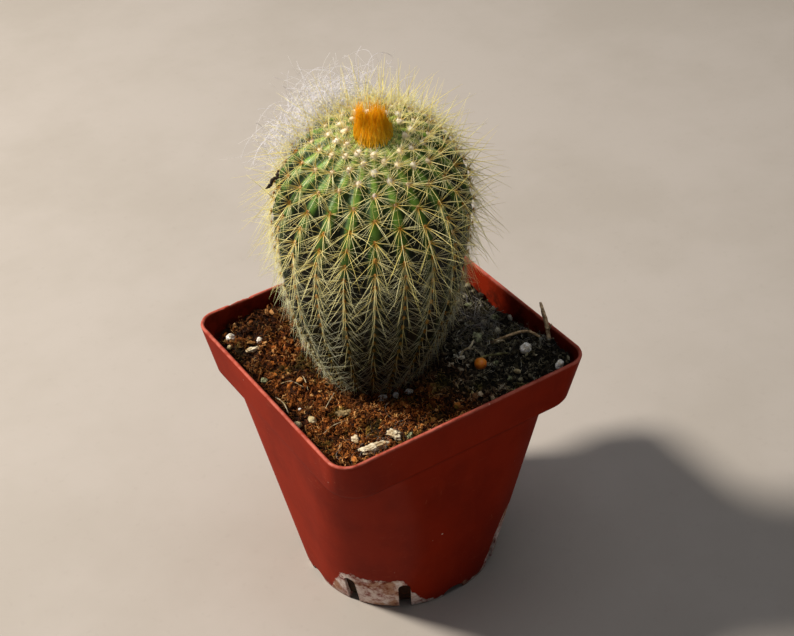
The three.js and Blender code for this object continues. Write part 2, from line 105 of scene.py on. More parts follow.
def unit(vectors):
    return vectors / np.maximum(np.linalg.norm(vectors, axis=-1, keepdims=True), 1e-12)


def smooth_step(value, low, high):
    part = np.clip((value - low) / (high - low), 0, 1)
    return part * part * (3 - 2 * part)


def in_row_frame(points):
    """Points of the plant's own frame, with the back of the crown raised, moved to where the plant stands."""
    raised = np.array(points, float)
    back = raised[..., 0] * math.cos(LEAN_HEADING) + raised[..., 1] * math.sin(LEAN_HEADING)
    raised[..., 2] += CROWN_LEAN * back * smooth_step(raised[..., 2], LEAN_START, LEAN_END)
    return raised @ PLANT[:3, :3].T + PLANT[:3, 3]


def corners_of(bm):
    return np.array([v.co[:] for v in bm.verts])


def move_corners(bm, places):
    for v, place in zip(bm.verts, places):
        v.co = place


def lumpy(places, reach, size, seed=0.0):
    """Fractal heights over the given places, from about -reach to reach, with lumps of the given size."""
    shift = Vector((seed, seed, seed))
    return np.array([noise.fractal(Vector(p) / size + shift, 0.9, 2.1, 4) for p in places]) * reach


def triangles_of(bm):
    """A small shape as arrays of corners and triangles, ready to be sown many times."""
    bmesh.ops.triangulate(bm, faces=bm.faces[:])
    bm.verts.index_update()
    corners = corners_of(bm)
    faces = np.array([[v.index for v in f.verts] for f in bm.faces])
    bm.free()
    return corners, faces


def sow(name, places, faces, **values):
    """One mesh from many moved copies of a shape: places is (copies, corners, 3). Values go to its corners."""
    copies, corners = places.shape[:2]
    loops = (faces[None] + (np.arange(copies) * corners)[:, None, None]).reshape(-1)
    mesh = bpy.data.meshes.new(name)
    mesh.vertices.add(copies * corners)
    mesh.vertices.foreach_set("co", places.reshape(-1).astype(np.float32))
    mesh.loops.add(len(loops))
    mesh.loops.foreach_set("vertex_index", loops.astype(np.int32))
    mesh.polygons.add(len(loops) // 3)
    mesh.polygons.foreach_set("loop_start", np.arange(0, len(loops), 3, dtype=np.int32))
    mesh.update(calc_edges=True)
    for key, value in values.items():
        spread_over(mesh, key, np.broadcast_to(value, (copies, corners)))
    return mesh


def spread_over(mesh, key, value):
    attribute = mesh.attributes.new(key, "FLOAT", "POINT")
    attribute.data.foreach_set("value", np.asarray(value, np.float32).reshape(-1))


def mesh_of(bm, name):
    mesh = bpy.data.meshes.new(name)
    bm.to_mesh(mesh)
    bm.free()
    return mesh


def joined(name, meshes):
    """One mesh from several, with their values kept."""
    bm = bmesh.new()
    for mesh in meshes:
        bm.from_mesh(mesh)
        bpy.data.meshes.remove(mesh)
    return mesh_of(bm, name)


def finished(name, source, material, replaces=(), smooth=True, sharp=None):
    """A piece from a bmesh or mesh in millimetres: made metres, given its finish, and put on the one body."""
    mesh = mesh_of(source, name) if isinstance(source, bmesh.types.BMesh) else source
    mesh.transform(Matrix.Scale(MM, 4))
    mesh.materials.append(material)
    mesh.polygons.foreach_set("use_smooth", np.full(len(mesh.polygons), smooth))
    if sharp is not None:
        mesh.set_sharp_from_angle(angle=math.radians(sharp))
    piece = bpy.data.objects.new(name, mesh)
    bpy.context.scene.collection.objects.link(piece)
    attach(piece, "root")
    if replaces:
        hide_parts(*replaces)
    return piece


def straight_rod(sides, rings, tip):
    """A closed rod from Z = 0 to Z = 1 with unit radius at its foot, cut into rings so that it can bend."""
    bm = bmesh.new()
    bmesh.ops.create_cone(bm, cap_ends=True, segments=sides, radius1=1, radius2=tip, depth=1,
                          matrix=Matrix.Translation((0, 0, 0.5)))
    for i in range(1, rings):
        everything = bm.verts[:] + bm.edges[:] + bm.faces[:]
        bmesh.ops.bisect_plane(bm, geom=everything, plane_co=(0, 0, i / rings), plane_no=(0, 0, 1))
    return bm


def strand_shape(rings, tip=0.15):
    return triangles_of(straight_rod(3, rings, tip))


def across(heads):
    """Two directions square to each head."""
    spare = np.where(np.abs(heads[:, 2:3]) < 0.9, [[0.0, 0.0, 1.0]], [[1.0, 0.0, 0.0]])
    first = unit(np.cross(heads, spare))
    return first, np.cross(heads, first)


def grow(name, shape, roots, heads, lengths, radii, tints, bends=None, curl=None, planted=False, **values):
    """Strands that leave their roots along their heads. A bend is the drift of the tip; a curl is (reach, turns).
    Planted strands are given in the plant's own frame."""
    corners, faces = shape
    heads = unit(heads)
    first, second = across(heads)
    part = corners[:, 2][None, :, None]
    line = roots[:, None] + heads[:, None] * lengths[:, None, None] * part
    if bends is not None:
        line = line + bends[:, None] * part ** 2
    if curl is not None:
        reach, turns = (value[:, None, None] for value in curl)
        start = (tints * 37.7)[:, None, None]
        angle = 2 * np.pi * turns * part + start
        swell = reach * np.minimum(part * 3, 1)
        line = line + swell * (np.cos(angle) - np.cos(start)) * first[:, None]
        line = line + swell * (np.sin(angle) - np.sin(start)) * second[:, None]
    if planted:
        line = in_row_frame(line)
    width = radii[:, None, None]
    skin = first[:, None] * corners[None, :, 0:1] * width + second[:, None] * corners[None, :, 1:2] * width
    kept = (line[:, :, 2].max(1) < HIGHEST) & (np.abs(line[:, :, :2]).max((1, 2)) < WIDEST)
    spread = {key: value[kept, None] for key, value in values.items()}
    return sow(name, (line + skin)[kept], faces, tint=tints[kept, None], part=corners[:, 2][None], **spread)


def any_turns(random, count):
    """Rotation matrices with no favourite direction."""
    w, x, y, z = unit(random.normal(size=(count, 4))).T
    return np.stack([
        1 - 2 * (y * y + z * z), 2 * (x * y - z * w), 2 * (x * z + y * w),
        2 * (x * y + z * w), 1 - 2 * (x * x + z * z), 2 * (y * z - x * w),
        2 * (x * z - y * w), 2 * (y * z + x * w), 1 - 2 * (x * x + y * y),
    ], 1).reshape(-1, 3, 3)


def lump_shape(detail, dent, seed):
    """A small uneven lump about one unit in radius."""
    bm = bmesh.new()
    bmesh.ops.create_icosphere(bm, subdivisions=detail, radius=1)
    places = corners_of(bm)
    move_corners(bm, places * (1 + lumpy(places, dent, 0.9, seed))[:, None])
    return triangles_of(bm)


def scatter(name, shape, places, sizes, turns, tints, **values):
    corners, faces = shape
    moved = np.einsum("nij,nkj->nki", turns, corners[None] * sizes[:, None]) + places[:, None]
    spread = {key: value[:, None] for key, value in values.items()}
    return sow(name, moved, faces, tint=tints[:, None], **spread)


def smooth_path(points, steps):
    """Points along a smooth curve through the given ones, and its direction at each."""
    points = np.array(points, float)
    padded = np.vstack([2 * points[0] - points[1], points, 2 * points[-1] - points[-2]])
    place = np.linspace(0, len(points) - 1, steps)
    i = np.minimum(place.astype(int), len(points) - 2)
    t = (place - i)[:, None]
    a, b, c, d = (padded[i + k] for k in range(4))
    line = 0.5 * (2 * b + (c - a) * t + (2 * a - 5 * b + 4 * c - d) * t ** 2 + (3 * b - a - 3 * c + d) * t ** 3)
    return line, unit(np.gradient(line, axis=0))


def rod_along(points, radii, sides=10, rings=40, rough=0.0, seed=0.0):
    """A bmesh rod round a smooth path. Radii are spread evenly along it; rough is the depth of its bumps."""
    bm = straight_rod(sides, rings, 1)
    corners = corners_of(bm)
    line, heads = smooth_path(points, rings + 1)
    ring = np.rint(corners[:, 2] * rings).astype(int)
    side = unit(np.cross(heads, across(heads[:1])[0]))
    other = np.cross(heads, side)
    width = np.interp(corners[:, 2], np.linspace(0, 1, len(radii)), radii)[:, None]
    skin = side[ring] * corners[:, 0:1] + other[ring] * corners[:, 1:2]
    places = line[ring] + skin * width
    if rough:
        places = places + skin * (lumpy(places, rough, 0.8, seed))[:, None]
    move_corners(bm, places)
    bmesh.ops.recalc_face_normals(bm, faces=bm.faces[:])
    return bm


# ---- finishes -----------------------------------------------------------------------------------

def rgb(red, green, blue):
    """A colour given as it looks on a screen, from 0 to 255, as the shader wants it."""
    def linear(value):
        value = value / 255
        return value / 12.92 if value <= 0.04045 else ((value + 0.055) / 1.055) ** 2.4
    return (linear(red), linear(green), linear(blue), 1.0)


class Bench:
    """A node tree with short ways to add and join its nodes."""

    def __init__(self, tree):
        self.tree = tree
        self.place = None

    def node(self, kind, sockets=(), **settings):
        node = self.tree.nodes.new(kind)
        for key, value in settings.items():
            setattr(node, key, value)
        for key, value in dict(sockets).items():
            self.feed(node.inputs[key], value)
        return node

    def feed(self, socket, value):
        if isinstance(value, bpy.types.NodeSocket):
            self.tree.links.new(value, socket)
        else:
            socket.default_value = value

    def where(self):
        if self.place is None:
            self.place = self.node("ShaderNodeTexCoord").outputs["Object"]
        return self.place

    def stretched(self, scale):
        return self.node("ShaderNodeMapping", {"Vector": self.where(), "Scale": scale}).outputs["Vector"]

    def value(self, name):
        return self.node("ShaderNodeAttribute", attribute_name=name).outputs["Fac"]

    def axes(self):
        return self.node("ShaderNodeSeparateXYZ", {"Vector": self.where()}).outputs

    def noise(self, scale, detail=4.0, rough=0.55, place=None):
        sockets = {"Vector": place or self.where(), "Scale": scale, "Detail": detail, "Roughness": rough}
        return self.node("ShaderNodeTexNoise", sockets).outputs["Fac"]

    def cells(self, scale):
        return self.node("ShaderNodeTexVoronoi", {"Vector": self.where(), "Scale": scale}).outputs["Distance"]

    def ease(self, value, low, high, first=0.0, last=1.0):
        sockets = {"Value": value, "From Min": low, "From Max": high, "To Min": first, "To Max": last}
        return self.node("ShaderNodeMapRange", sockets, interpolation_type="SMOOTHSTEP").outputs["Result"]

    def maths(self, operation, a, b=0.0):
        return self.node("ShaderNodeMath", {0: a, 1: b}, operation=operation).outputs["Value"]

    def plus(self, a, b):
        return self.maths("ADD", a, b)

    def minus(self, a, b):
        return self.maths("SUBTRACT", a, b)

    def times(self, a, b):
        return self.maths("MULTIPLY", a, b)

    def larger(self, a, b):
        return self.maths("MAXIMUM", a, b)

    def mix(self, part, a, b, blend="MIX"):
        node = self.node("ShaderNodeMix", data_type="RGBA", blend_type=blend)
        for index, value in ((0, part), (6, a), (7, b)):
            self.feed(node.inputs[index], value)
        return node.outputs[2]

    def ramp(self, value, *stops):
        node = self.node("ShaderNodeValToRGB", {"Fac": value})
        elements = node.color_ramp.elements
        while len(elements) < len(stops):
            elements.new(0.5)
        for element, (place, colour) in zip(elements, stops):
            element.position = place
            element.color = colour
        return node.outputs["Color"]

    def group(self, group, **sockets):
        node = self.node("ShaderNodeGroup", node_tree=group)
        for key, value in sockets.items():
            self.feed(node.inputs[key.replace("_", " ")], value)
        return node.outputs[0]

    def patches(self, scale, low, high, detail=4.0):
        return self.group(PATCHES, Scale=scale, Detail=detail, Low=low, High=high)

    def relief(self, scale, strength, depth=0.0002):
        return self.group(RELIEF, Scale=scale, Strength=strength, Depth=depth)


def new_group(name, inputs, outputs):
    """An empty node group with named float inputs, and its bench."""
    group = bpy.data.node_groups.new(name, "ShaderNodeTree")
    for key, default in inputs.items():
        kind = "NodeSocketColor" if isinstance(default, tuple) else "NodeSocketFloat"
        group.interface.new_socket(key, in_out="INPUT", socket_type=kind).default_value = default
    for key, kind in outputs.items():
        group.interface.new_socket(key, in_out="OUTPUT", socket_type=kind)
    bench = Bench(group)
    entry = bench.node("NodeGroupInput").outputs
    leave = bench.node("NodeGroupOutput").inputs
    return group, bench, entry, leave


def make_relief():
    """Fine bumps from noise, as a normal."""
    group, bench, entry, leave = new_group(
        "fine_relief", {"Scale": 1500.0, "Strength": 0.3, "Depth": 0.0002}, {"Normal": "NodeSocketVector"})
    height = bench.noise(entry["Scale"], 5.0, 0.6)
    sockets = {"Height": height, "Strength": entry["Strength"], "Distance": entry["Depth"]}
    bump = bench.node("ShaderNodeBump", sockets)
    bench.feed(leave["Normal"], bump.outputs["Normal"])
    return group


def make_patches():
    """Soft-edged patches of noise, as a mask."""
    group, bench, entry, leave = new_group(
        "patches", {"Scale": 100.0, "Detail": 4.0, "Low": 0.45, "High": 0.6}, {"Mask": "NodeSocketFloat"})
    value = bench.noise(entry["Scale"], entry["Detail"], 0.62)
    bench.feed(leave["Mask"], bench.ease(value, entry["Low"], entry["High"]))
    return group


def make_mottle():
    """Two tones mixed by patches, then darkened by specks."""
    inputs = {"Light": rgb(200, 200, 200), "Dark": rgb(90, 90, 90), "Patch Scale": 200.0, "Speck Scale": 2500.0,
              "Speck Depth": 0.5}
    group, bench, entry, leave = new_group("mottle", inputs, {"Color": "NodeSocketColor"})
    patches = bench.ease(bench.noise(entry["Patch Scale"], 5.0, 0.65), 0.38, 0.64)
    base = bench.mix(patches, entry["Light"], entry["Dark"])
    specks = bench.ease(bench.noise(entry["Speck Scale"], 3.0, 0.6), 0.58, 0.72)
    part = bench.times(specks, entry["Speck Depth"])
    bench.feed(leave["Color"], bench.mix(part, base, entry["Dark"], "MULTIPLY"))
    return group


RELIEF = make_relief()
PATCHES = make_patches()
MOTTLE = make_mottle()


def finish_of(name, roughness, specular=0.5, **constants):
    """A material, its shader and its bench."""
    material = bpy.data.materials.new(name)
    material.use_nodes = True
    bench = Bench(material.node_tree)
    shader = bench.tree.nodes["Principled BSDF"].inputs
    shader["Roughness"].default_value = roughness
    shader["Specular IOR Level"].default_value = specular
    for key, value in constants.items():
        shader[key.replace("_", " ")].default_value = value
    return material, shader, bench


def cactus_skin():
    """Waxy green skin: bright on the crests of the crown, darker down the stem, near black in the grooves. The
    bright crown is partly fresh growth and partly a painted lit top; the darker lower stem is partly older skin and
    partly painted shade; the near-black grooves are painted shade.
    """
    material, shader, bench = finish_of("cactus_skin", 0.46, 0.35)
    groove, height = bench.value("groove"), bench.value("height")
    # Crest tones by height: lighter towards the crown, partly fresh growth and partly a painted lit top, and darker
    # down the stem, partly painted shade.
    crest = bench.ramp(height, (0.0, rgb(20, 26, 12)), (0.5, rgb(28, 38, 15)), (0.72, rgb(40, 58, 20)),
                       (0.85, rgb(76, 112, 32)), (0.94, rgb(118, 158, 50)), (1.0, rgb(156, 172, 74)))
    # Painted shade in the grooves: near-black tones, darker still down the stem.
    groove_shade = bench.ramp(height, (0.0, rgb(4, 6, 3)), (0.7, rgb(7, 11, 5)), (0.85, rgb(16, 28, 8)),
                      (0.94, rgb(46, 74, 18)), (1.0, rgb(120, 140, 52)))
    blotches = bench.patches(260.0, 0.42, 0.66)
    crest = bench.mix(bench.times(blotches, 0.4), crest, rgb(64, 78, 34))
    tone = bench.mix(bench.ease(groove, 0.0, 0.34), crest, groove_shade)
    pores = bench.ease(bench.cells(2600.0), 0.12, 0.3, 1.0, 0.0)
    tone = bench.mix(bench.times(pores, 0.2), tone, rgb(120, 140, 84))
    bench.feed(shader["Base Color"], tone)
    bench.feed(shader["Normal"], bench.relief(1400.0, 0.35))
    bench.feed(shader["Roughness"], bench.ease(bench.noise(500.0), 0.3, 0.7, 0.38, 0.58))
    return material


def strand_finish(name, young, old=None, roughness=0.45, specular=0.3, blush=0.12):
    """Spines or hairs in two ages, each with a colour at the foot and one at the tip. Tint slides to the third."""
    material, shader, bench = finish_of(name, roughness, specular)
    tint, part, age = bench.value("tint"), bench.value("part"), bench.value("age")
    tones = []
    for foot, tip, strong in (young, old or young):
        tones.append(bench.mix(bench.ease(part, 0.0, 0.3), foot, bench.mix(tint, tip, strong)))
    tone = bench.mix(bench.ease(age, 0.25, 0.7), *tones)
    patches = bench.patches(420.0, 0.4, 0.66)
    tone = bench.mix(bench.times(patches, blush), tone, young[0])
    bench.feed(shader["Base Color"], tone)
    bench.feed(shader["Roughness"], bench.ease(bench.noise(3000.0), 0.3, 0.7, roughness - 0.08, roughness + 0.15))
    return material


def areole_wool():
    """Wool that is white on new areoles, orange-brown on older ones and dull gold near the soil."""
    material, shader, bench = finish_of("areole_wool", 0.9, 0.15)
    age, tint = bench.value("age"), bench.value("tint")
    young = bench.mix(tint, rgb(250, 242, 226), rgb(240, 222, 186))
    old = bench.mix(tint, rgb(158, 98, 34), rgb(208, 156, 82))
    lowest = bench.mix(tint, rgb(104, 78, 30), rgb(138, 116, 58))
    tone = bench.mix(bench.ease(age, 0.13, 0.27), young, old)
    tone = bench.mix(bench.ease(age, 0.5, 0.85), tone, lowest)
    bench.feed(shader["Base Color"], tone)
    bench.feed(shader["Normal"], bench.relief(5000.0, 0.5))
    return material


def soil_tone(bench, tint):
    """Orange-brown coir at the left and front, near-black peat to the right that is partly painted shade, with olive
    moss in patches, and painted shade along the wall and round the stem's foot.
    """
    axes = bench.axes()
    lean = bench.plus(axes["X"], bench.times(axes["Y"], 0.35))
    drift = bench.times(bench.minus(bench.noise(60.0, 3.0), 0.5), 0.04)
    # Mask towards the near-black peat on the right, which is partly its own colour and partly painted shade.
    side = bench.ease(bench.plus(lean, drift), -0.010, 0.014)
    coir = bench.ramp(tint, (0.0, rgb(22, 10, 4)), (0.3, rgb(76, 36, 12)), (0.55, rgb(138, 74, 26)),
                      (0.78, rgb(196, 118, 50)), (1.0, rgb(238, 186, 118)))
    peat_and_shade = bench.ramp(tint, (0.0, rgb(8, 7, 5)), (0.35, rgb(50, 44, 34)), (0.62, rgb(112, 102, 78)),
                      (0.82, rgb(188, 178, 146)), (1.0, rgb(238, 232, 212)))
    tone = bench.mix(side, coir, peat_and_shade)
    moss = bench.ramp(tint, (0.0, rgb(20, 18, 6)), (0.5, rgb(84, 76, 24)), (1.0, rgb(156, 146, 66)))
    patches = bench.patches(150.0, 0.52, 0.66)
    tone = bench.mix(bench.times(patches, 0.75), tone, moss)
    # Painted shade: the soil darkens towards the pot's wall and round the stem's foot.
    across, along = (bench.maths("ABSOLUTE", axes[name]) for name in "XY")
    wall = bench.ease(bench.plus(bench.larger(across, along), drift), 0.031, 0.04)
    foot = [bench.minus(axes[name], middle * MM) for name, middle in (("X", STEM_BASE.x), ("Y", STEM_BASE.y))]
    away = bench.maths("SQRT", bench.plus(*(bench.times(step, step) for step in foot)))
    foot = bench.ease(bench.plus(away, drift), 0.017, 0.022, 1.0, 0.0)
    # Near-black painted shade mixed in along the wall and round the foot.
    return bench.mix(bench.times(bench.larger(wall, foot), 0.55), tone, rgb(20, 12, 6))


def soil_finish(name, tinted):
    material, shader, bench = finish_of(name, 0.92, 0.2)
    grit = bench.noise(900.0, 6.0, 0.7)
    if tinted:
        tint = bench.plus(bench.times(bench.value("tint"), 0.85), bench.times(grit, 0.24))
    else:
        tint = bench.ease(grit, 0.35, 0.85, 0.0, 0.45)
    bench.feed(shader["Base Color"], soil_tone(bench, tint))
    bench.feed(shader["Normal"], bench.relief(2600.0, 0.8, 0.0004))
    return material


def pot_plastic():
    """Red-brown moulded plastic: fine scuffs and dust, soil smeared inside, and a mineral crust round the foot; with
    painted shade under the collar and over the inner wall, and a rim top lightened by wear and a painted highlight.
    """
    material, shader, bench = finish_of("pot_plastic", 0.4, 0.0, Coat_Roughness=0.3)
    axes = bench.axes()
    turn = bench.maths("ARCTAN2", axes["Y"], axes["X"])
    tone = bench.mix(bench.ease(bench.noise(38.0, 5.0, 0.6), 0.35, 0.68), rgb(142, 37, 14), rgb(124, 30, 11))
    streaks = bench.ease(bench.noise(1.0, 4.0, 0.6, bench.stretched((420, 420, 55))), 0.5, 0.75)
    tone = bench.mix(bench.times(streaks, 0.12), tone, rgb(168, 58, 28))
    scratches = bench.ease(bench.noise(1.0, 2.0, 0.5, bench.stretched((160, 160, 3200))), 0.68, 0.74)
    across = bench.ease(bench.noise(1.0, 2.0, 0.5, bench.stretched((1500, 1500, 120))), 0.7, 0.76)
    thin = bench.patches(70.0, 0.5, 0.62)
    scuffs = bench.times(bench.larger(scratches, across), thin)
    tone = bench.mix(bench.times(scuffs, 0.3), tone, rgb(206, 124, 92))
    nicks = bench.ease(bench.cells(300.0), 0.06, 0.12, 1.0, 0.0)
    sparse = bench.patches(110.0, 0.6, 0.66)
    tone = bench.mix(bench.times(bench.times(nicks, sparse), 0.8), tone, rgb(232, 206, 190))
    # The rim top is lighter in patches: partly wear and partly a painted highlight.
    rim = bench.ease(axes["Z"], (POT_HEIGHT - 0.9) * MM, (POT_HEIGHT - 0.2) * MM)
    wear_and_highlight = bench.ease(bench.noise(240.0, 5.0, 0.7), 0.3, 0.6, 0.25, 1.0)
    tone = bench.mix(bench.times(bench.times(rim, wear_and_highlight), 0.5), tone, rgb(226, 132, 112))

    # Painted shade: a dark band just under the collar's overhang.
    below = bench.ease(axes["Z"], (COLLAR_BOTTOM - 3.0) * MM, (COLLAR_BOTTOM - 0.6) * MM)
    below = bench.times(below, bench.ease(axes["Z"], COLLAR_BOTTOM * MM, (COLLAR_BOTTOM + 0.5) * MM, 1.0, 0.0))
    tone = bench.mix(bench.times(below, 0.7), tone, rgb(58, 12, 5))

    smear = bench.patches(170.0, 0.42, 0.62, 6.0)
    low_wall = bench.ease(axes["Z"], 0.0785, 0.0875, 1.0, 0.15)
    soiled = bench.times(bench.times(bench.value("inside"), low_wall), smear)
    # Painted shade: the whole inside wall is darkened towards a deep red.
    tone = bench.mix(bench.times(bench.value("inside"), 0.4), tone, rgb(84, 22, 10))
    tone = bench.mix(bench.times(soiled, 0.85), tone, rgb(46, 22, 14))

    ragged = bench.times(bench.minus(bench.noise(210.0, 7.0, 0.7), 0.5), 0.011)
    front = bench.times(bench.ease(turn, math.radians(-170), math.radians(-151)),
                      bench.ease(turn, math.radians(-124), math.radians(-105), 1.0, 0.0))
    right = bench.times(bench.ease(turn, math.radians(-70), math.radians(-56)),
                      bench.ease(turn, math.radians(-42), math.radians(-24), 1.0, 0.0))
    height = bench.larger(bench.times(front, 0.0155), bench.times(right, 0.025))
    height = bench.larger(height, 0.0012)
    edge = bench.minus(bench.plus(height, ragged), axes["Z"])
    crust = bench.ease(edge, -0.0003, 0.0005)
    crust_tone = bench.ramp(bench.noise(330.0, 7.0, 0.75), (0.32, rgb(92, 40, 32)), (0.41, rgb(168, 116, 108)),
                            (0.52, rgb(222, 202, 194)), (0.74, rgb(248, 242, 240)))
    ochre = bench.ease(bench.noise(120.0, 4.0, 0.6), 0.5, 0.62)
    crust_tone = bench.mix(bench.times(ochre, 0.75), crust_tone, rgb(188, 132, 76), "MULTIPLY")
    tone = bench.mix(crust, tone, crust_tone)
    dust = bench.patches(900.0, 0.56, 0.74, 6.0)
    tone = bench.mix(bench.times(dust, 0.04), tone, rgb(196, 130, 104))
    bench.feed(shader["Base Color"], tone)
    rough = bench.ease(bench.noise(240.0, 6.0, 0.65), 0.3, 0.7, 0.3, 0.46)
    rough = bench.larger(rough, bench.times(bench.larger(crust, soiled), 0.9))
    bench.feed(shader["Roughness"], rough)
    bench.feed(shader["Coat Weight"], bench.ease(bench.larger(crust, soiled), 0.0, 0.6, 0.14, 0.0))
    moulded = bench.relief(700.0, 0.08)
    ridge = bench.plus(crust, bench.times(bench.noise(1500.0, 5.0, 0.7), crust))
    bump = bench.node("ShaderNodeBump", {"Height": ridge, "Strength": 0.6, "Distance": 0.0005, "Normal": moulded})
    bench.feed(shader["Normal"], bump.outputs["Normal"])
    return material


def mottled(name, light, dark, roughness, patch=260.0, depth=0.4, relief=0.5, specular=0.3):
    """Two tones in patches, with fine specks of the given depth and a fine relief."""
    material, shader, bench = finish_of(name, roughness, specular)
    tones = bench.group(MOTTLE, Light=light, Dark=dark, Patch_Scale=patch, Speck_Scale=2600.0,
                        Speck_Depth=depth)
    bench.feed(shader["Base Color"], tones)
    bench.feed(shader["Normal"], bench.relief(1800.0, relief, 0.0003))
    return material


# ---- the stem -----------------------------------------------------------------------------------

def crest_radius(along):
    """Radius of the ribs' crests at a distance along the stem's axis from the soil."""
    along = np.asarray(along, float)
    rise = np.clip((along - SHOULDER_HEIGHT) / CROWN_RISE, 0, 1)
    crown = STEM_RADIUS * (1 - rise ** CROWN_POWER) ** (1 / CROWN_POWER)
    drop = np.clip((SHOULDER_HEIGHT - along) / SHOULDER_HEIGHT, 0, 1)
    flank = STEM_RADIUS - (STEM_RADIUS - BASE_RADIUS) * drop ** FLANK_POWER
    buried = BASE_RADIUS * np.sqrt(1 - np.clip(-along / BURIED_LENGTH, 0, 1) ** 2)
    return np.where(along > SHOULDER_HEIGHT, crown, np.where(along >= 0, flank, buried))


def crest_line():
    """The line over a rib's crest from the apex to the end of the foot, as distances, radii and heights."""
    turn = np.linspace(0, np.pi / 2, 400)
    radius = STEM_RADIUS * np.sin(turn) ** (2 / CROWN_POWER)
    along = SHOULDER_HEIGHT + CROWN_RISE * np.clip(np.cos(turn), 0, 1) ** (2 / CROWN_POWER)
    below = np.linspace(SHOULDER_HEIGHT, -BURIED_LENGTH, 500)[1:]
    radius, along = np.concatenate([radius, crest_radius(below)]), np.concatenate([along, below])
    steps = np.hypot(np.diff(radius), np.diff(along))
    return np.concatenate([[0.0], np.cumsum(steps)]), radius, along


CREST_DISTANCES, CREST_RADII, CREST_HEIGHTS = crest_line()


def meridian(distance):
    """Radius and height of the crest at a distance over the skin from the apex."""
    return (np.interp(distance, CREST_DISTANCES, CREST_RADII), np.interp(distance, CREST_DISTANCES, CREST_HEIGHTS))


def areole_spacing(distance):
    """Wide on the crown and the flank, close on the shoulder and low down."""
    return 3.1 + 2.9 * math.exp(-(((distance - 16) / 11) ** 2)) + 2.1 * math.exp(-(((distance - 57) / 22) ** 2))


def areole_distances(rib):
    """Distances of a rib's areoles from the apex; each rib starts almost half a space after the one before it."""
    distances = []
    distance = FIRST_AREOLE + (rib * PHASE_STEP) % 1 * areole_spacing(FIRST_AREOLE)
    while distance < LAST_AREOLE:
        distances.append(distance)
        distance += areole_spacing(distance)
    return np.array(distances)


AREOLES = [areole_distances(rib) for rib in range(RIBS)]


def swelling(rib, distance):
    """How far the crest stands out: a low tubercle under each areole."""
    stations = AREOLES[rib]
    phase = np.interp(distance, stations, np.arange(len(stations)))
    reach = smooth_step(distance, 2, 9) * (1 - smooth_step(distance, 92, 103))
    return TUBERCLE * np.cos(2 * np.pi * phase) * reach


def make_stem(finish):
    """The ribbed skin: the crest line spun round, grooved between the ribs and swollen at each areole."""
    bm = bmesh.new()
    distances = np.concatenate([[0.0], np.linspace(1.2, CREST_DISTANCES[-1] - 0.6, STEM_RINGS)])
    radius, along = meridian(distances)
    profile = [bm.verts.new((r, 0, z)) for r, z in zip(radius, along)]
    profile.append(bm.verts.new((0, 0, -BURIED_LENGTH)))
    edges = [bm.edges.new(pair) for pair in zip(profile, profile[1:])]
    bmesh.ops.spin(bm, geom=profile + edges, axis=(0, 0, 1), cent=(0, 0, 0), dvec=(0, 0, 0),
                   angle=2 * math.pi, steps=RIBS * STEPS_PER_RIB, use_merge=True, use_duplicate=False)
    bmesh.ops.remove_doubles(bm, verts=bm.verts[:], dist=1e-4)
    places = corners_of(bm)
    crest = np.hypot(places[:, 0], places[:, 1])
    along = places[:, 2]
    distance = np.interp(-along, -CREST_HEIGHTS, CREST_DISTANCES)
    turn = (np.arctan2(places[:, 1], places[:, 0]) - FRONT_RIB) / (2 * np.pi) * RIBS
    crestness = np.abs(np.cos(np.pi * turn))
    groove = 1 - crestness ** 0.8
    nearest = np.rint(turn).astype(int) % RIBS
    swell = np.zeros(len(places))
    for rib in range(RIBS):
        swell[nearest == rib] = swelling(rib, distance[nearest == rib])
    swell *= crestness ** 2
    fade = smooth_step(along, -10, 2)
    depth = crest * RIB_DEPTH * fade * groove
    scale = (crest - depth + swell * 0.7) / np.maximum(crest, 1e-6)
    places[:, :2] *= scale[:, None]
    places[:, 2] += swell * 0.4 * np.clip((along - SHOULDER_HEIGHT) / CROWN_RISE, 0, 1)
    move_corners(bm, in_row_frame(places))
    bmesh.ops.recalc_face_normals(bm, faces=bm.faces[:])
    mesh = mesh_of(bm, "cactus_body")
    spread_over(mesh, "groove", groove)
    spread_over(mesh, "height", np.clip(along / (SHOULDER_HEIGHT + CROWN_RISE), 0, 1))
    return finished("cactus_body", mesh, finish, ["cactus_stem"])


# ---- spines and wool ----------------------------------------------------------------------------

def rib_frame(rib, distances):
    """Points on a rib's crest with their outward, downward and sideways directions, in the plant's frame."""
    heading = FRONT_RIB + rib * 2 * np.pi / RIBS
    out = np.array([np.cos(heading), np.sin(heading), 0])
    up = np.array([0.0, 0.0, 1.0])
    side = np.array([-np.sin(heading), np.cos(heading), 0])
    radius, along = meridian(distances)
    radius = radius + swelling(rib, distances) * 0.8
    more, less = meridian(distances + 0.5), meridian(distances - 0.5)
    down = unit((more[0] - less[0])[:, None] * out + (more[1] - less[1])[:, None] * up)
    normal = np.cross(down, side)
    normal *= np.sign(normal @ (out + up))[:, None]
    return radius[:, None] * out + along[:, None] * up, normal, down, np.broadcast_to(side, down.shape)


def fan_out(which, normal, down, side, swing, lift):
    """Directions along the skin, turned by swing from sideways to downward, and the same lifted off the skin."""
    flat = np.cos(swing)[:, None] * side[which] + np.sin(swing)[:, None] * down[which]
    return flat, np.cos(lift)[:, None] * flat + np.sin(lift)[:, None] * normal[which]


SPINE = strand_shape(4)
FINE_SPINE = strand_shape(3)


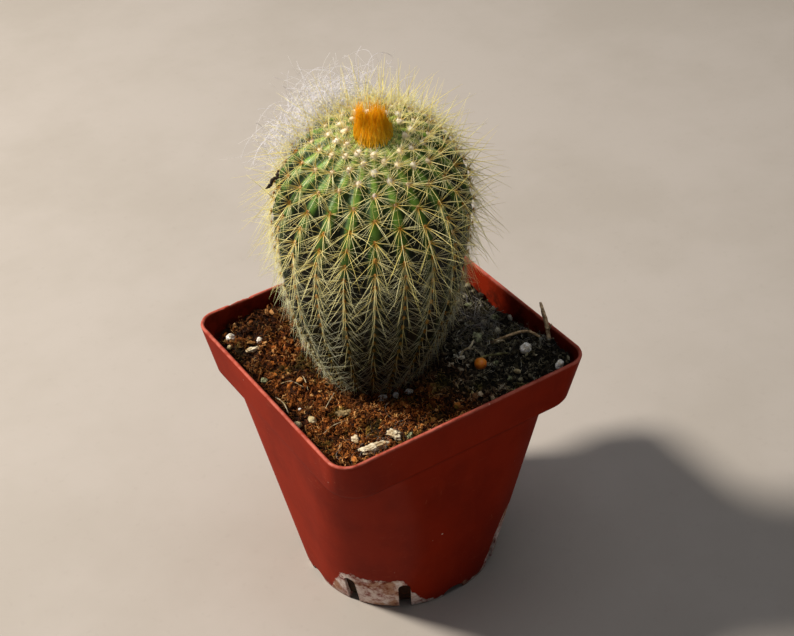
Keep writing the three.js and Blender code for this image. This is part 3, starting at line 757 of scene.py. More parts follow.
def make_spine_row(rib, finish):
    """The spines of one rib: fans of thin radials, and a few long centrals that shorten towards the soil."""
    random = np.random.default_rng(100 + rib)
    distances = AREOLES[rib]
    points, normal, down, side = rib_frame(rib, distances)
    meshes = []

    def by_age(which, *values):
        return np.interp(distances[which], [6.5, 15, 25.5, 37, 52.5, 97], values)

    count = np.rint(np.interp(distances, [6.5, 18, 40, 58, 97], [17, 18, 15, 9, 8])).astype(int)
    which = np.repeat(np.arange(len(distances)), count)
    total = len(which)
    hand = np.where(random.random(total) < 0.5, -1, 1)
    low, high = by_age(which, -30, -45, -50, -25, 4, 18), by_age(which, 38, 58, 84, 78, 66, 62)
    swing = np.radians(low + (high - low) * random.random(total) + random.normal(0, 4, total))
    lift = np.radians(by_age(which, 34, 26, 22, 18, 13, 11) + random.normal(0, 7, total))
    flat, heads = fan_out(which, normal, down, side, np.where(hand > 0, swing, np.pi - swing), lift)
    lengths = random.uniform(0.78, 1.12, total) * by_age(which, 4.6, 7.4, 7.9, 7.9, 7.8, 6.8)
    roots = points[which] + normal[which] * 0.3 + flat * 0.3
    bends = normal[which] * random.normal(-0.1, 0.3, total)[:, None]
    bends = bends + down[which] * random.normal(0.1, 0.3, total)[:, None]
    bends = bends * by_age(which, 1, 1, 1, 0.9, 0.5, 0.4)[:, None]
    radii = random.uniform(0.85, 1.15, total) * by_age(which, 0.082, 0.086, 0.07, 0.058, 0.05, 0.045)
    meshes.append(grow("radials", FINE_SPINE, roots, heads, lengths, radii, random.random(total) ** 2,
                       bends=bends, planted=True, age=distances[which] / 95))

    count = np.rint(np.interp(distances, [6.5, 11.6, 38.5, 55.4, 72.5, 97], [2.4, 3.8, 3.9, 2.4, 1, 1])
                    + random.uniform(-0.4, 0.4, len(distances))).astype(int)
    which = np.repeat(np.arange(len(distances)), count)
    order = np.concatenate([np.arange(n) for n in count])
    total = len(which)
    swing = np.radians(np.select([order == 0, order == 1, order == 2], [90, 38, 142], -80)
                       + random.normal(0, 15, total))
    rise = np.where(order == 3, 62, by_age(which, 68, 54, 42, 38, 32, 24))
    lift = np.radians(rise + random.normal(0, 9, total))
    flat, heads = fan_out(which, normal, down, side, swing, lift)
    lengths = by_age(which, 6.5, 11.0, 14.2, 13.2, 9.5, 5.5) * random.uniform(0.8, 1.12, total)
    lengths *= np.where(order == 0, 1.06, 0.92)
    bends = down[which] * (random.uniform(0.4, 2.2, total) * by_age(which, 0, 0.6, 1, 1, 0.6, 0.3))[:, None]
    bends = bends + side[which] * random.normal(0, 0.6, total)[:, None]
    radii = random.uniform(0.85, 1.15, total) * by_age(which, 0.12, 0.13, 0.12, 0.11, 0.1, 0.08)
    meshes.append(grow("centrals", SPINE, points[which] + normal[which] * 0.2, heads, lengths, radii,
                       random.uniform(0.3, 1.0, total), bends=bends, planted=True, age=distances[which] / 95))
    mesh = joined(f"spines_{rib + 1:02d}", meshes)
    return finished(mesh.name, mesh, finish, [f"spine_row_{rib + 1:02d}"])


def make_areoles(finish):
    """Round woolly pads on every areole, each with a halo of short wool."""
    random = np.random.default_rng(7)
    pads, halos = [], []
    shape = lump_shape(2, 0.25, 3.0)
    hair = strand_shape(2, tip=0.4)
    for rib in range(RIBS):
        distances = AREOLES[rib]
        points, normal, down, side = rib_frame(rib, distances)
        age = np.clip(distances / 95, 0, 1)
        fresh = 1 - smooth_step(distances, 9, 24)
        wide = 0.55 + 0.6 * fresh
        count = len(distances)
        turns = np.stack([side, down, normal], 2)
        sizes = np.stack([wide * 0.85, wide * (0.9 + 0.9 * age), 0.3 + 0.5 * fresh], 1)
        sizes *= random.uniform(0.85, 1.15, (count, 1))
        rotation = PLANT[:3, :3] @ turns
        places = in_row_frame(points + normal * 0.25)
        pads.append(scatter("pads", shape, places, sizes, rotation, random.random(count), age=age))
        which = np.repeat(np.arange(count), np.rint(9 + 37 * fresh).astype(int))
        total = len(which)
        spin = random.uniform(0, 2 * np.pi, total)
        flat, heads = fan_out(which, normal, down, side, spin, random.uniform(0.1, 1.3, total))
        roots = points[which] + normal[which] * 0.2 + flat * wide[which, None] * 0.5
        lengths = random.uniform(0.5, 1.2, total) * (0.75 + 0.75 * fresh[which])
        halos.append(grow("halo", hair, roots, heads, lengths, np.full(total, 0.05), random.random(total),
                          curl=(random.uniform(0.08, 0.2, total), random.uniform(0.5, 1.5, total)),
                          planted=True, age=age[which]))
    finished("areole_pads", joined("areole_pads", pads), finish)
    finished("areole_wool", joined("areole_wool", halos), finish)


def make_tuft(finish):
    """Dense young spines in the middle of the crown: a low round brush with a thin and a broad flame above it."""
    random = np.random.default_rng(21)
    wide = 5.5
    leftward = np.array([-0.84, 0.54, 0.0])
    meshes = []
    for count, middle, spread, lean, length in (
            (1300, 0.0, wide, 0.7, (4.4, 6.4)),
            (150, 3.6, 1.3, 0.1, (6.6, 10.4)),
            (300, -1.3, 2.6, 0.1, (5.6, 10.0)),
            (70, 1.2, 4.0, 0.3, (7.5, 12.5)),
            (120, 0.0, wide * 1.06, 0.9, (3.0, 6.5))):
        reach = np.sqrt(random.random(count)) * spread
        if spread > wide:
            reach = random.uniform(wide * 0.85, spread, count)
        spin = random.uniform(0, 2 * np.pi, count)
        roots = np.stack([reach * np.cos(spin), reach * np.sin(spin), np.zeros(count)], 1) + leftward * middle
        flat = roots.copy()
        far = np.hypot(roots[:, 0], roots[:, 1])
        roots[:, 2] = np.interp(far, CREST_RADII[:400], CREST_HEIGHTS[:400]) - 0.4
        edge = far / wide
        heads = unit(np.array([0, 0, 1.0]) + flat / wide * (0.5 * lean) + random.normal(0, 0.1, (count, 3)))
        pull = (leftward * middle - flat) * (0.45 if lean > 0.5 else 0.6) + random.normal(0, 0.5, (count, 3))
        lengths = random.uniform(*length, count) * (1 - 0.6 * edge ** 2 * lean)
        tints = np.clip(edge ** 3 * 0.5 * lean + random.normal(0.12, 0.14, count), 0, 1)
        meshes.append(grow("tuft", FINE_SPINE, roots, heads, lengths, random.uniform(0.07, 0.15, count), tints,
                           bends=pull, planted=True, age=np.full(count, 0.0)))
    mesh = joined("young_tuft", meshes)
    return finished("young_tuft", mesh, finish, ["apical_tuft"])


def make_crown_ring(finish):
    """Fine pale wisps that ring the tuft, stand over the newest areoles and crowd the raised back of the crown."""
    random = np.random.default_rng(33)
    meshes = []
    for count, near, far, fan, lean, length, radius, age in (
            (260, 5.4, 7.4, np.pi, 0.5, (1.4, 3.4), (0.05, 0.08), 0.05),
            (160, 6.2, 16.0, np.pi, 0.7, (2.6, 5.4), (0.05, 0.08), 0.1),
            (220, 9.0, 26.0, 1.5, 0.6, (3.5, 8.5), (0.05, 0.08), 0.3)):
        spin = LEAN_HEADING + random.uniform(-fan, fan, count)
        reach = random.uniform(near, far, count)
        distance = np.interp(reach, CREST_RADII[:400], CREST_DISTANCES[:400])
        more, less = meridian(distance + 0.5), meridian(distance - 0.5)
        out = np.stack([np.cos(spin), np.sin(spin), np.zeros(count)], 1)
        up = np.array([0.0, 0.0, 1.0])
        normal = unit(out * (less[1] - more[1])[:, None] + up * (more[0] - less[0])[:, None])
        roots = out * reach[:, None] + up * (meridian(distance)[1] - 0.3)[:, None]
        heads = unit(normal + out * random.normal(0.2, lean, count)[:, None] + random.normal(0, 0.35, (count, 3)))
        meshes.append(grow("wisps", FINE_SPINE, roots, heads, random.uniform(*length, count),
                           random.uniform(*radius, count), random.random(count),
                           bends=random.normal(0, 0.5, (count, 3)), planted=True, age=np.full(count, age)))
    mesh = joined("crown_wisps", meshes)
    return finished("crown_wisps", mesh, finish)


def make_hair(finish):
    """Curly white hair caught on the back-left shoulder, fanned out in a sheaf, with long loose strays."""
    random = np.random.default_rng(5)
    leftward = unit(np.array([-0.8372, 0.5448, 0.0477]))
    upward = unit(np.array([0.3621, 0.4869, 0.7949]))
    back = np.cross(upward, leftward)
    middle = np.array([-1.3, 2.0, 126.9]) + upward * 6.5 - leftward * 2.5
    meshes = []
    for count, rings, fan, near, far, length, reach, turns, radius in (
            (380, 24, (10, 62), 27, 36, (14, 30), (0.9, 2.6), (0.7, 2.3), (0.06, 0.09)),
            (130, 24, (2, 66), 28, 39, (20, 38), (1.2, 3.4), (0.5, 1.5), (0.05, 0.07)),
            (60, 18, (-30, 20), 25, 31, (8, 15), (0.5, 1.5), (0.5, 1.4), (0.04, 0.06))):
        turn = np.radians(random.uniform(*fan, count))
        ray = np.sin(turn)[:, None] * leftward + np.cos(turn)[:, None] * upward
        out = random.uniform(near, far, count)
        roots = middle + ray * out[:, None] + back * random.uniform(-2, 12, count)[:, None]
        along = np.cos(turn)[:, None] * leftward - np.sin(turn)[:, None] * upward
        heads = along * random.choice([-1.0, 1.0], count)[:, None] * random.uniform(0.2, 1.3, count)[:, None]
        heads = heads + ray * random.normal(0.25, 0.6, count)[:, None]
        heads = unit(heads + back * random.normal(0, 0.45, count)[:, None])
        lengths = random.uniform(*length, count) * 0.62
        starts = roots - heads * lengths[:, None] * 0.5
        bends = ray * random.uniform(-2.5, 2.5, count)[:, None] + along * random.normal(0, 2.0, count)[:, None]
        meshes.append(grow("hair", strand_shape(rings, tip=0.5), starts, heads, lengths,
                           random.uniform(*radius, count), random.random(count),
                           curl=(random.uniform(*reach, count), random.uniform(*turns, count)),
                           bends=bends, age=random.random(count)))
    mesh = joined("white_curls", meshes)
    return finished("white_curls", mesh, finish, ["crown_hair"])


# ---- pot ----------------------------------------------------------------------------------------

def square_reach(side, corner, turn):
    """Distance from the middle of a square with round corners to its edge, in each direction."""
    turn = np.mod(turn, np.pi / 2)
    turn = np.minimum(turn, np.pi / 2 - turn)
    c, s = np.cos(turn), np.sin(turn)
    middle = side / 2 - corner
    flat = side / 2 / c
    bend = middle * (c + s) + np.sqrt(np.clip(corner ** 2 - middle ** 2 * (c - s) ** 2, 0, None))
    return np.where(side / 2 * s / c < middle, flat, bend)


def ring_to(verts, side, corner, z):
    """Moves a ring of corners out or in to a rounded square at a height."""
    for v in verts:
        turn = math.atan2(v.co.y, v.co.x)
        reach = float(square_reach(side, corner, np.array(turn)))
        v.co = (reach * math.cos(turn), reach * math.sin(turn), z)


def loft_on(bm, edges, side, corner, z):
    """Draws the open ring of edges on to the next rounded square and gives back the new ring."""
    result = bmesh.ops.extrude_edge_only(bm, edges=edges)["geom"]
    verts = [e for e in result if isinstance(e, bmesh.types.BMVert)]
    ring_to(verts, side, corner, z)
    return [e for e in result if isinstance(e, bmesh.types.BMEdge)]


def level(low, high, part, inset=0.0):
    """A rounded square between two others, as (side, corner, height)."""
    side, corner, z = (a + (b - a) * part for a, b in zip(low, high))
    return side - 2 * inset, corner - inset, z


FOOT_RING = (FOOT_SIDE, FOOT_CORNER, 0)
BODY_RING = (BODY_SIDE, BODY_CORNER, BODY_TOP)
COLLAR_RING = (COLLAR_SIDE, COLLAR_CORNER, COLLAR_BOTTOM + 0.4)
RIM_RING = (RIM_SIDE, RIM_CORNER, POT_HEIGHT - 0.5)


def drain_cutters():
    """Twelve cuts round the foot: every third is a low notch, the others are tall slots with round tops."""
    bm = bmesh.new()
    for i in range(DRAIN_COUNT):
        width, height, rise = NOTCH if i % 3 == 0 else SLOT
        cap = bmesh.ops.create_circle(bm, cap_ends=True, segments=28, radius=1)["verts"]
        for v in cap:
            x, up = v.co.x * width / 2, v.co.y * rise
            v.co = (x, -(FOOT_SIDE / 2 - FOOT_BITE), up + height - rise if up > -1e-4 else up - 1.5)
        face = list({f for v in cap for f in v.link_faces})
        result = bmesh.ops.extrude_face_region(bm, geom=face, use_keep_orig=True)["geom"]
        outer = [v for v in result if isinstance(v, bmesh.types.BMVert)]
        bmesh.ops.translate(bm, verts=outer, vec=(0, -12, 0))
        turn = Matrix.Rotation((i / DRAIN_COUNT) * 2 * math.pi + math.pi / 2, 3, "Z")
        bmesh.ops.rotate(bm, verts=cap + outer, cent=(0, 0, 0), matrix=turn)
    bmesh.ops.recalc_face_normals(bm, faces=bm.faces[:])
    return mesh_of(bm, "drain_cuts")


def cut_away(mesh, cutter):
    """The first mesh with the second taken out of it."""
    scene = bpy.context.scene
    body = bpy.data.objects.new("body_to_cut", mesh)
    tool = bpy.data.objects.new("cutting_tool", cutter)
    for item in (body, tool):
        scene.collection.objects.link(item)
    modifier = body.modifiers.new("cut", "BOOLEAN")
    modifier.object = tool
    modifier.operation = "DIFFERENCE"
    modifier.solver = "EXACT"
    depsgraph = bpy.context.evaluated_depsgraph_get()
    result = bpy.data.meshes.new_from_object(body.evaluated_get(depsgraph))
    for item in (body, tool):
        bpy.data.objects.remove(item)
    return result


def nibble_rim(bm):
    """Wears the rim down a little all round, and chips it at the back left and along the front right."""
    for v in bm.verts:
        over = (v.co.z - (POT_HEIGHT - 1.4)) / 1.4
        if over <= 0:
            continue
        chipped = v.co.y > 40 and -43 < v.co.x < -24
        rough = v.co.y < -40 and v.co.x > 20
        bite = noise.fractal(v.co * 0.55, 0.8, 2.1, 4) if chipped else noise.fractal(v.co * 1.1, 0.8, 2.1, 3)
        depth = 1.3 if chipped else 0.3 if rough else 0.1
        v.co.z -= max(bite, 0) * depth * over


def make_pot(finish):
    bm = bmesh.new()
    bmesh.ops.create_circle(bm, cap_ends=False, segments=360, radius=1)
    start = bm.edges[:]
    ring_to(bm.verts[:], FOOT_SIDE - 1.2, FOOT_CORNER - 0.6, 0)
    sections = [(FOOT_SIDE - 0.35, FOOT_CORNER - 0.18, 0.18), level(FOOT_RING, BODY_RING, 0.01)]
    sections += [level(FOOT_RING, BODY_RING, i / 14) for i in range(1, 14)]
    sections += [
        level(FOOT_RING, BODY_RING, 0.994), (BODY_SIDE + 0.3, BODY_CORNER, BODY_TOP + 0.1),
        (COLLAR_SIDE - 1.5, COLLAR_CORNER, COLLAR_BOTTOM - 0.35),
        (COLLAR_SIDE - 0.5, COLLAR_CORNER, COLLAR_BOTTOM - 0.1),
        (COLLAR_SIDE - 0.05, COLLAR_CORNER, COLLAR_BOTTOM + 0.3),
    ]
    sections += [level(COLLAR_RING, RIM_RING, part) for part in (0.05, 0.15, 0.3, 0.5, 0.7, 0.9, 1.0)]
    for turn in (30, 60, 90, 120, 150):
        inset = WALL / 2 * (1 - math.cos(math.radians(turn)))
        rise = 0.5 * math.sin(math.radians(turn))
        sections.append((RIM_SIDE - 2 * inset, RIM_CORNER - inset, POT_HEIGHT - 0.5 + rise))
    sections += [level(COLLAR_RING, RIM_RING, part, WALL) for part in (1.0, 0.8, 0.6, 0.4, 0.2, 0.0)]
    sections += [level(FOOT_RING, BODY_RING, part, WALL) for part in (1.0, 0.8, 0.6, 0.4, 0.2, 0.08)]
    sections += [(FOOT_SIDE - 2 * WALL, FOOT_CORNER - WALL, FLOOR)]
    ring = start
    for section in sections:
        ring = loft_on(bm, ring, *section)
    for loop in (start, ring):
        bmesh.ops.edgeloop_fill(bm, edges=loop)
    bmesh.ops.recalc_face_normals(bm, faces=bm.faces[:])
    nibble_rim(bm)
    mesh = cut_away(mesh_of(bm, "uncut_pot"), drain_cutters())
    mesh.name = "nursery_pot"
    places = np.array([v.co[:] for v in mesh.vertices])
    heights = [section[2] for section in (FOOT_RING, BODY_RING, COLLAR_RING, RIM_RING)]
    side = np.interp(places[:, 2], heights, [FOOT_SIDE, BODY_SIDE, COLLAR_SIDE, RIM_SIDE])
    corner = np.interp(places[:, 2], heights, [FOOT_CORNER, BODY_CORNER, COLLAR_CORNER, RIM_CORNER])
    wall = square_reach(side, corner, np.arctan2(places[:, 1], places[:, 0]))
    spread_over(mesh, "inside", np.hypot(places[:, 0], places[:, 1]) < wall - WALL * 0.7)
    return finished("nursery_pot", mesh, finish, ["pot"], sharp=32)


# ---- soil ---------------------------------------------------------------------------------------

def soil_height(x, y):
    """Height of the soil: mounds at the back-left wall and the front-right corner, a hollow round the stem."""
    def mound(cx, cy, reach):
        return np.exp(-((x - cx) ** 2 + (y - cy) ** 2) / reach ** 2)
    return (SOIL_LEVEL + 5 * mound(-24, 43, 15) + 5.5 * mound(43, -31, 15)
            + 2 * np.exp(-(((x - 43) / 8) ** 2)) - 1.5 * np.exp(-(((from_stem(x, y) - 16) / 7) ** 2)))


def inner_side(inset=0.0):
    """Side and corner of the pot's inner wall at the soil's edge, drawn in by an inset."""
    part = (SOIL_EDGE - COLLAR_RING[2]) / (RIM_RING[2] - COLLAR_RING[2])
    return level(COLLAR_RING, RIM_RING, part, WALL + inset)[:2]


def inside_wall(x, y, margin):
    return np.hypot(x, y) < square_reach(*inner_side(margin), np.arctan2(y, x))


def from_stem(x, y):
    return np.hypot(x - STEM_BASE.x, y - STEM_BASE.y)


def lying(spin, rise):
    """Heads along the ground at the given turns, with a rise."""
    return np.stack([np.cos(spin), np.sin(spin), rise], 1)


def kept_inside(roots, heads, lengths, margin, short):
    """The lengths, with a short one wherever a strand would reach the wall."""
    ends = roots + unit(heads) * lengths[:, None]
    return np.where(np.max(np.abs(ends[:, :2]), axis=1) > inner_side(margin)[0] / 2, short, lengths), ends


def soil_lumps(x, y):
    """Height of the clods over the even soil."""
    flat = np.stack([x, y, np.zeros(len(x))], 1)
    return lumpy(flat, 1.5, 5.0, 2.0) + lumpy(flat, 1.1, 2.0, 8.0)


def make_soil_bed(finish):
    """The block of soil: an uneven top sheet whose edge is drawn down the inner wall to the floor of the pot."""
    bm = bmesh.new()
    cells = 150
    bmesh.ops.create_grid(bm, x_segments=cells, y_segments=cells, size=1)
    places = corners_of(bm)
    square = np.max(np.abs(places[:, :2]), axis=1)
    turn = np.arctan2(places[:, 1], places[:, 0])
    reach = square_reach(*inner_side(0.2), turn) * square
    x, y = reach * np.cos(turn), reach * np.sin(turn)
    z = soil_height(x, y) + soil_lumps(x, y) - 0.7
    move_corners(bm, np.stack([x, y, z], 1))
    ring = [e for e in bm.edges if e.is_boundary]
    clear = WALL + 0.25
    for section in (level(COLLAR_RING, RIM_RING, 0.0, clear), level(FOOT_RING, BODY_RING, 1.0, clear),
                    level(FOOT_RING, BODY_RING, 0.5, clear), level(FOOT_RING, BODY_RING, 0.035, clear)):
        ring = loft_on(bm, ring, *section)
    bmesh.ops.edgeloop_fill(bm, edges=ring)
    bmesh.ops.recalc_face_normals(bm, faces=bm.faces[:])
    return finished("soil_bed", bm, finish, ["soil"])


def on_soil(random, count, margin=0.6):
    """Random spots on the soil, clear of the stem, the wall and the larger grains."""
    side = inner_side()[0]
    spots = random.uniform(-side / 2, side / 2, (count * 2, 2))
    clear = inside_wall(*spots.T, margin) & (from_stem(*spots.T) > BASE_RADIUS - 1.0)
    for _, (x, y), size, *_ in GRAINS:
        clear &= np.hypot(spots[:, 0] - x, spots[:, 1] - y) > 0.7 * (size[0] + size[1]) / 2 + 0.5
    return spots[clear][:count]


def make_crumbs(finish):
    """Coir crumbs and peat grains heaped over the bed, in three uneven shapes, with a painted highlight on top of
    the heaps and painted shade low between them.
    """
    random = np.random.default_rng(11)
    meshes = []
    for seed in range(3):
        spots = on_soil(random, 2300)
        count = len(spots)
        x, y = spots.T
        size = 0.22 + 0.5 * random.random(count) ** 2.4
        sizes = size[:, None] * random.uniform(0.3, 1.8, (count, 3))
        lumps = soil_lumps(x, y)
        loose = random.uniform(-0.8, 0.7, count)
        # Painted light and shade: crumbs on the heaps and lying high are paler, those lying low darker.
        tints = np.clip(0.3 + 0.24 * lumps + 0.32 * loose + random.normal(0, 0.2, count), 0, 1)
        places = np.stack([x, y, soil_height(x, y) + lumps - 0.3 + loose], 1)
        shape = lump_shape(1, 0.6, seed * 5.0)
        meshes.append(scatter("crumbs", shape, places, sizes, any_turns(random, count), tints))
    mesh = joined("soil_crumbs", meshes)
    return finished("soil_crumbs", mesh, finish, smooth=False)


def make_coir(finish, name, many, longest, radii, seed):
    """Curly threads or short shreds of coir lying over the crumbs, thickest at the left and front."""
    random = np.random.default_rng(seed)
    spots = on_soil(random, many, 2.2)
    keep = random.random(len(spots)) < np.where(spots[:, 0] + 0.35 * spots[:, 1] < 0, 1.0, 0.55)
    spots = spots[keep]
    count = len(spots)
    x, y = spots.T
    lumps = soil_lumps(x, y)
    loose = random.uniform(-0.5, 1.1, count)
    roots = np.stack([x, y, soil_height(x, y) + lumps + loose], 1)
    heads = lying(random.uniform(0, 2 * np.pi, count), random.normal(0.1, 0.55, count))
    lengths, _ = kept_inside(roots, heads, 0.8 + longest * random.random(count) ** 1.6, 1.0, 0.6)
    # Painted light and shade: threads on the heaps and lying high are paler, those lying low darker.
    tints = np.clip(0.4 + 0.2 * lumps + 0.22 * loose + random.normal(0, 0.22, count), 0, 1)
    mesh = grow(name, strand_shape(5, tip=0.6), roots, heads, lengths, random.uniform(*radii, count), tints,
                curl=(random.uniform(0.15, 0.7, count), random.uniform(0.5, 2.0, count)))
    return finished(name, mesh, finish)


def make_root_hairs(finish):
    """Fine pale roots matted over the dark soil on the right, and a few stray threads elsewhere."""
    random = np.random.default_rng(17)
    meshes = []
    for count, middle, spread, length in ((100, (35, -3), (5, 6), (4, 11)), (60, (27, -12), (8, 6), (3, 9)),
                                          (34, (38, -24), (4, 6), (3, 8)), (40, (-22, -30), (12, 7), (2, 7))):
        spots = np.array(middle) + random.normal(0, 0.5, (count, 2)) * np.array(spread)
        x, y = spots[inside_wall(*spots.T, 2.5) & (from_stem(*spots.T) > BASE_RADIUS + 2)].T
        total = len(x)
        heads = lying(random.uniform(0, 2 * np.pi, total), random.normal(0.06, 0.12, total))
        lengths = random.uniform(*length, total)
        roots = np.stack([x, y, soil_height(x, y) + soil_lumps(x, y) + random.uniform(0.1, 1.2, total)], 1)
        lengths, ends = kept_inside(roots, heads, lengths, 2.0, 2.0)
        lengths = np.where(from_stem(ends[:, 0], ends[:, 1]) < BASE_RADIUS, 3.0, lengths)
        meshes.append(grow("root_hairs", strand_shape(12, tip=0.5), roots, heads, lengths,
                           random.uniform(0.04, 0.08, total), random.random(total),
                           curl=(random.uniform(0.4, 1.3, total), random.uniform(0.4, 1.6, total)),
                           bends=random.normal(0, 1.0, (total, 3)) * np.array([1, 1, 0.3]),
                           age=random.random(total)))
    mesh = joined("root_hairs", meshes)
    return finished("root_hairs", mesh, finish)


# ---- loose bits ---------------------------------------------------------------------------------

GRAINS = [
    ("perlite_01", (-35.7, 37.0), (1.5, 1.4, 1.3), 20, 0.3, "perlite"),
    ("perlite_02", (-37.9, 34.0), (0.9, 0.9, 0.8), 0, 0.3, "cream"),
    ("perlite_03", (-29.0, 30.6), (1.2, 0.9, 0.9), 60, 0.3, "perlite"),
    ("perlite_04", (-34.3, -3.6), (0.5, 0.5, 0.45), 0, 0.2, "perlite"),
    ("perlite_05", (-33.7, -10.4), (1.5, 1.2, 1.1), 100, 0.3, "cream"),
    ("perlite_06", (-10.5, -12.9), (1.4, 1.2, 1.1), 10, 0.3, "perlite"),
    ("perlite_07", (-6.6, -14.1), (1.2, 0.9, 0.9), 70, 0.3, "perlite"),
    ("perlite_08", (-2.4, -15.0), (1.3, 0.9, 0.8), 150, 0.3, "perlite"),
    ("perlite_09", (34.6, -24.9), (1.9, 1.7, 1.6), 30, 0.3, "perlite"),
    ("perlite_10", (27.7, -29.9), (1.2, 0.8, 0.8), 120, 0.3, "cream"),
    ("perlite_11", (20.2, -10.4), (0.9, 0.7, 0.7), 40, 0.3, "perlite"),
    ("perlite_12", (28.7, -6.9), (1.3, 0.9, 0.8), 0, 0.3, "cream"),
    ("perlite_13", (-38.6, -9.8), (1.2, 1.3, 1.2), 30, 0.3, "cream"),
    ("perlite_14", (37.4, -38.0), (1.7, 1.0, 1.3), 20, 0.3, "perlite"),
    ("bark_chip_01", (-25.3, -31.4), (4.4, 1.6, 1.1), -12, 0.25, "bark"),
    ("bark_chip_02", (-32.4, 28.6), (2.3, 1.0, 0.8), -17, 0.25, "bark"),
    ("bark_chip_03", (-24.2, -13.2), (2.6, 1.3, 0.8), -30, 0.25, "wood"),
    ("bark_chip_04", (-17.4, -30.2), (1.6, 2.4, 1.1), 15, 0.25, "bark"),
    ("bark_chip_05", (-27.9, -25.2), (1.1, 1.8, 0.9), -20, 0.25, "bark"),
    ("fertilizer_bead", (21.6, -19.1), (2.0, 2.0, 1.9), 0, 0.3, "bead"),
]


def make_grain(row, number, finishes):
    """One grain, chip or bead that sits in the soil: pitted perlite, split bark or a smooth coated ball."""
    name, (x, y), size, degrees, sunk, kind = row
    bm = bmesh.new()
    bmesh.ops.create_icosphere(bm, subdivisions=5, radius=1)
    places = corners_of(bm)
    if kind == "bead":
        places *= (1 + lumpy(places, 0.03, 0.5, number))[:, None]
    elif kind in ("bark", "wood"):
        boxy = places / np.maximum(np.max(np.abs(places), axis=1), 1e-6)[:, None] ** 0.3
        split = lumpy(boxy * np.array([0.8, 1.6, 1.6]), 0.26, 0.6, number) + lumpy(boxy, 0.44, 1.0, number + 9)
        places = boxy * (0.86 + split)[:, None]
    else:
        broad = lumpy(places, 0.27, 0.9, number)
        pits = lumpy(places, 0.14, 0.25, number + 4)
        places *= (1 + broad - np.abs(pits))[:, None]
    places *= np.array(size)
    turn = np.array(Matrix.Rotation(math.radians(degrees), 3, "Z"))
    lift = np.array([x, y, float(soil_height(x, y)) + size[2] * (1 - 2 * sunk)])
    move_corners(bm, places @ turn.T + lift)
    return finished(f"{name}_grain", bm, finishes[kind], [name])


def above_soil(points):
    return [(x, y, float(soil_height(x, y)) + above) for x, y, above in points]


TWIG = [(41.3, -28.8, 79.2), (41.5, -27.6, 82.8), (41.9, -25.3, 88.4), (42.4, -21.8, 93.2)]
ROOT = [(30.0, -10.2, 74.8), (33.9, -14.9, 79.2), (38.9, -19.2, 81.9), (40.4, -24.9, 82.4)]
FIBRES = [
    [(-25.9, 8.7, 1.6), (-26.6, 5.7, 1.5), (-27.6, 2.7, 0.5)],
    [(-22.1, -3.8, 1.9), (-25.4, -6.6, 1.7), (-29.0, -9.0, 0.6)],
    [(-25.8, -16.9, 1.0), (-30.4, -17.1, 1.4), (-34.6, -18.0, 0.9)],
    [(-33.0, -25.2, 1.2), (-34.1, -26.3, 1.2), (-35.4, -27.2, 0.4)],
]


STRAYS = [
    ("olive_strand", "root", [(20.6, -16.9, 1.0), (23.9, -18.0, 1.6), (27.6, -19.6, 1.3), (30.8, -21.9, 0.6)],
     [0.35, 0.5, 0.3, 0.4, 0.12]),
    ("forked_root", "fibre", [(17.9, -12.9, 0.7), (20.6, -11.0, 1.4), (23.4, -10.7, 1.2), (26.4, -8.7, 1.5)],
     [0.16, 0.36, 0.3, 0.4, 0.2]),
    ("forked_root_branch", "fibre", [(22.6, -10.8, 1.2), (23.9, -12.6, 1.3), (24.6, -14.9, 0.6)], [0.3, 0.22, 0.1]),
    ("shell_flake", "fibre", [(30.2, -14.4, 1.0), (31.5, -15.4, 1.9), (33.2, -15.8, 0.9)], [0.2, 0.42, 0.3, 0.1]),
    ("pale_straw", "fibre", [(-37.9, 4.6, 1.2), (-37.4, 0.6, 1.6), (-38.2, -3.8, 0.9)], [0.12, 0.2, 0.2, 0.08]),
    ("bent_straw", "fibre", [(-33.2, 9.6, 1.0), (-30.4, 8.0, 1.7), (-28.0, 4.6, 0.7)], [0.08, 0.12, 0.06]),
    ("front_straw", "fibre", [(-20.0, -36.0, 0.9), (-23.5, -37.6, 1.5), (-28.4, -38.0, 0.8)], [0.08, 0.12, 0.06]),
]


def make_stray(name, points, radii, finish, slot, seed):
    bm = rod_along(above_soil(points), radii, sides=10, rings=36, rough=0.14, seed=seed)
    return finished(name, bm, finish)


LUMPS = [((38.2, -3.6), (1.5, 1.1, 0.9)), ((28.6, -7.4), (1.8, 1.2, 1.0)), ((36.2, 7.5), (1.1, 0.8, 0.7)),
         ((24.4, -30.6), (0.9, 0.6, 0.5)), ((-36.4, 14.5), (1.0, 0.8, 0.7)), ((-20.6, -37.0), (1.2, 0.8, 0.7)),
         ((25.4, -21.9), (0.8, 0.7, 0.6)), ((-14.0, -33.5), (0.9, 0.9, 0.7)), ((1.0, -36.4), (0.8, 0.6, 0.5))]


def make_moss_lumps(finish):
    """Small greenish-grey lumps of moss and root on the soil."""
    meshes = []
    for number, ((x, y), size) in enumerate(LUMPS):
        places = np.array([[x, y, float(soil_height(x, y)) + size[2] * 0.6]])
        turn = np.array(Matrix.Rotation(number * 1.3, 3, "Z"))[None]
        shape = lump_shape(4, 0.7, number * 2.0)
        meshes.append(scatter("moss", shape, places, np.array([size]), turn, np.array([0.5])))
    mesh = joined("moss_lumps", meshes)
    return finished("moss_lumps", mesh, finish)


def make_twig(finish):
    """The dry stub, swollen and split, with a broken side stub."""
    bm = rod_along(TWIG, [0.62, 0.8, 0.62, 0.72, 0.4], sides=14, rings=60, rough=0.16, seed=3.0)
    side = [(41.7, -26.4, 85.6), (41.9, -27.4, 87.2), (42.0, -27.9, 88.6)]
    stub = rod_along(side, [0.42, 0.34, 0.22], sides=10, rings=16, rough=0.1, seed=5.0)
    both = joined("twig_stub", [mesh_of(bm, "twig"), mesh_of(stub, "stub")])
    return finished("twig_stub", both, finish, ["dry_twig"])


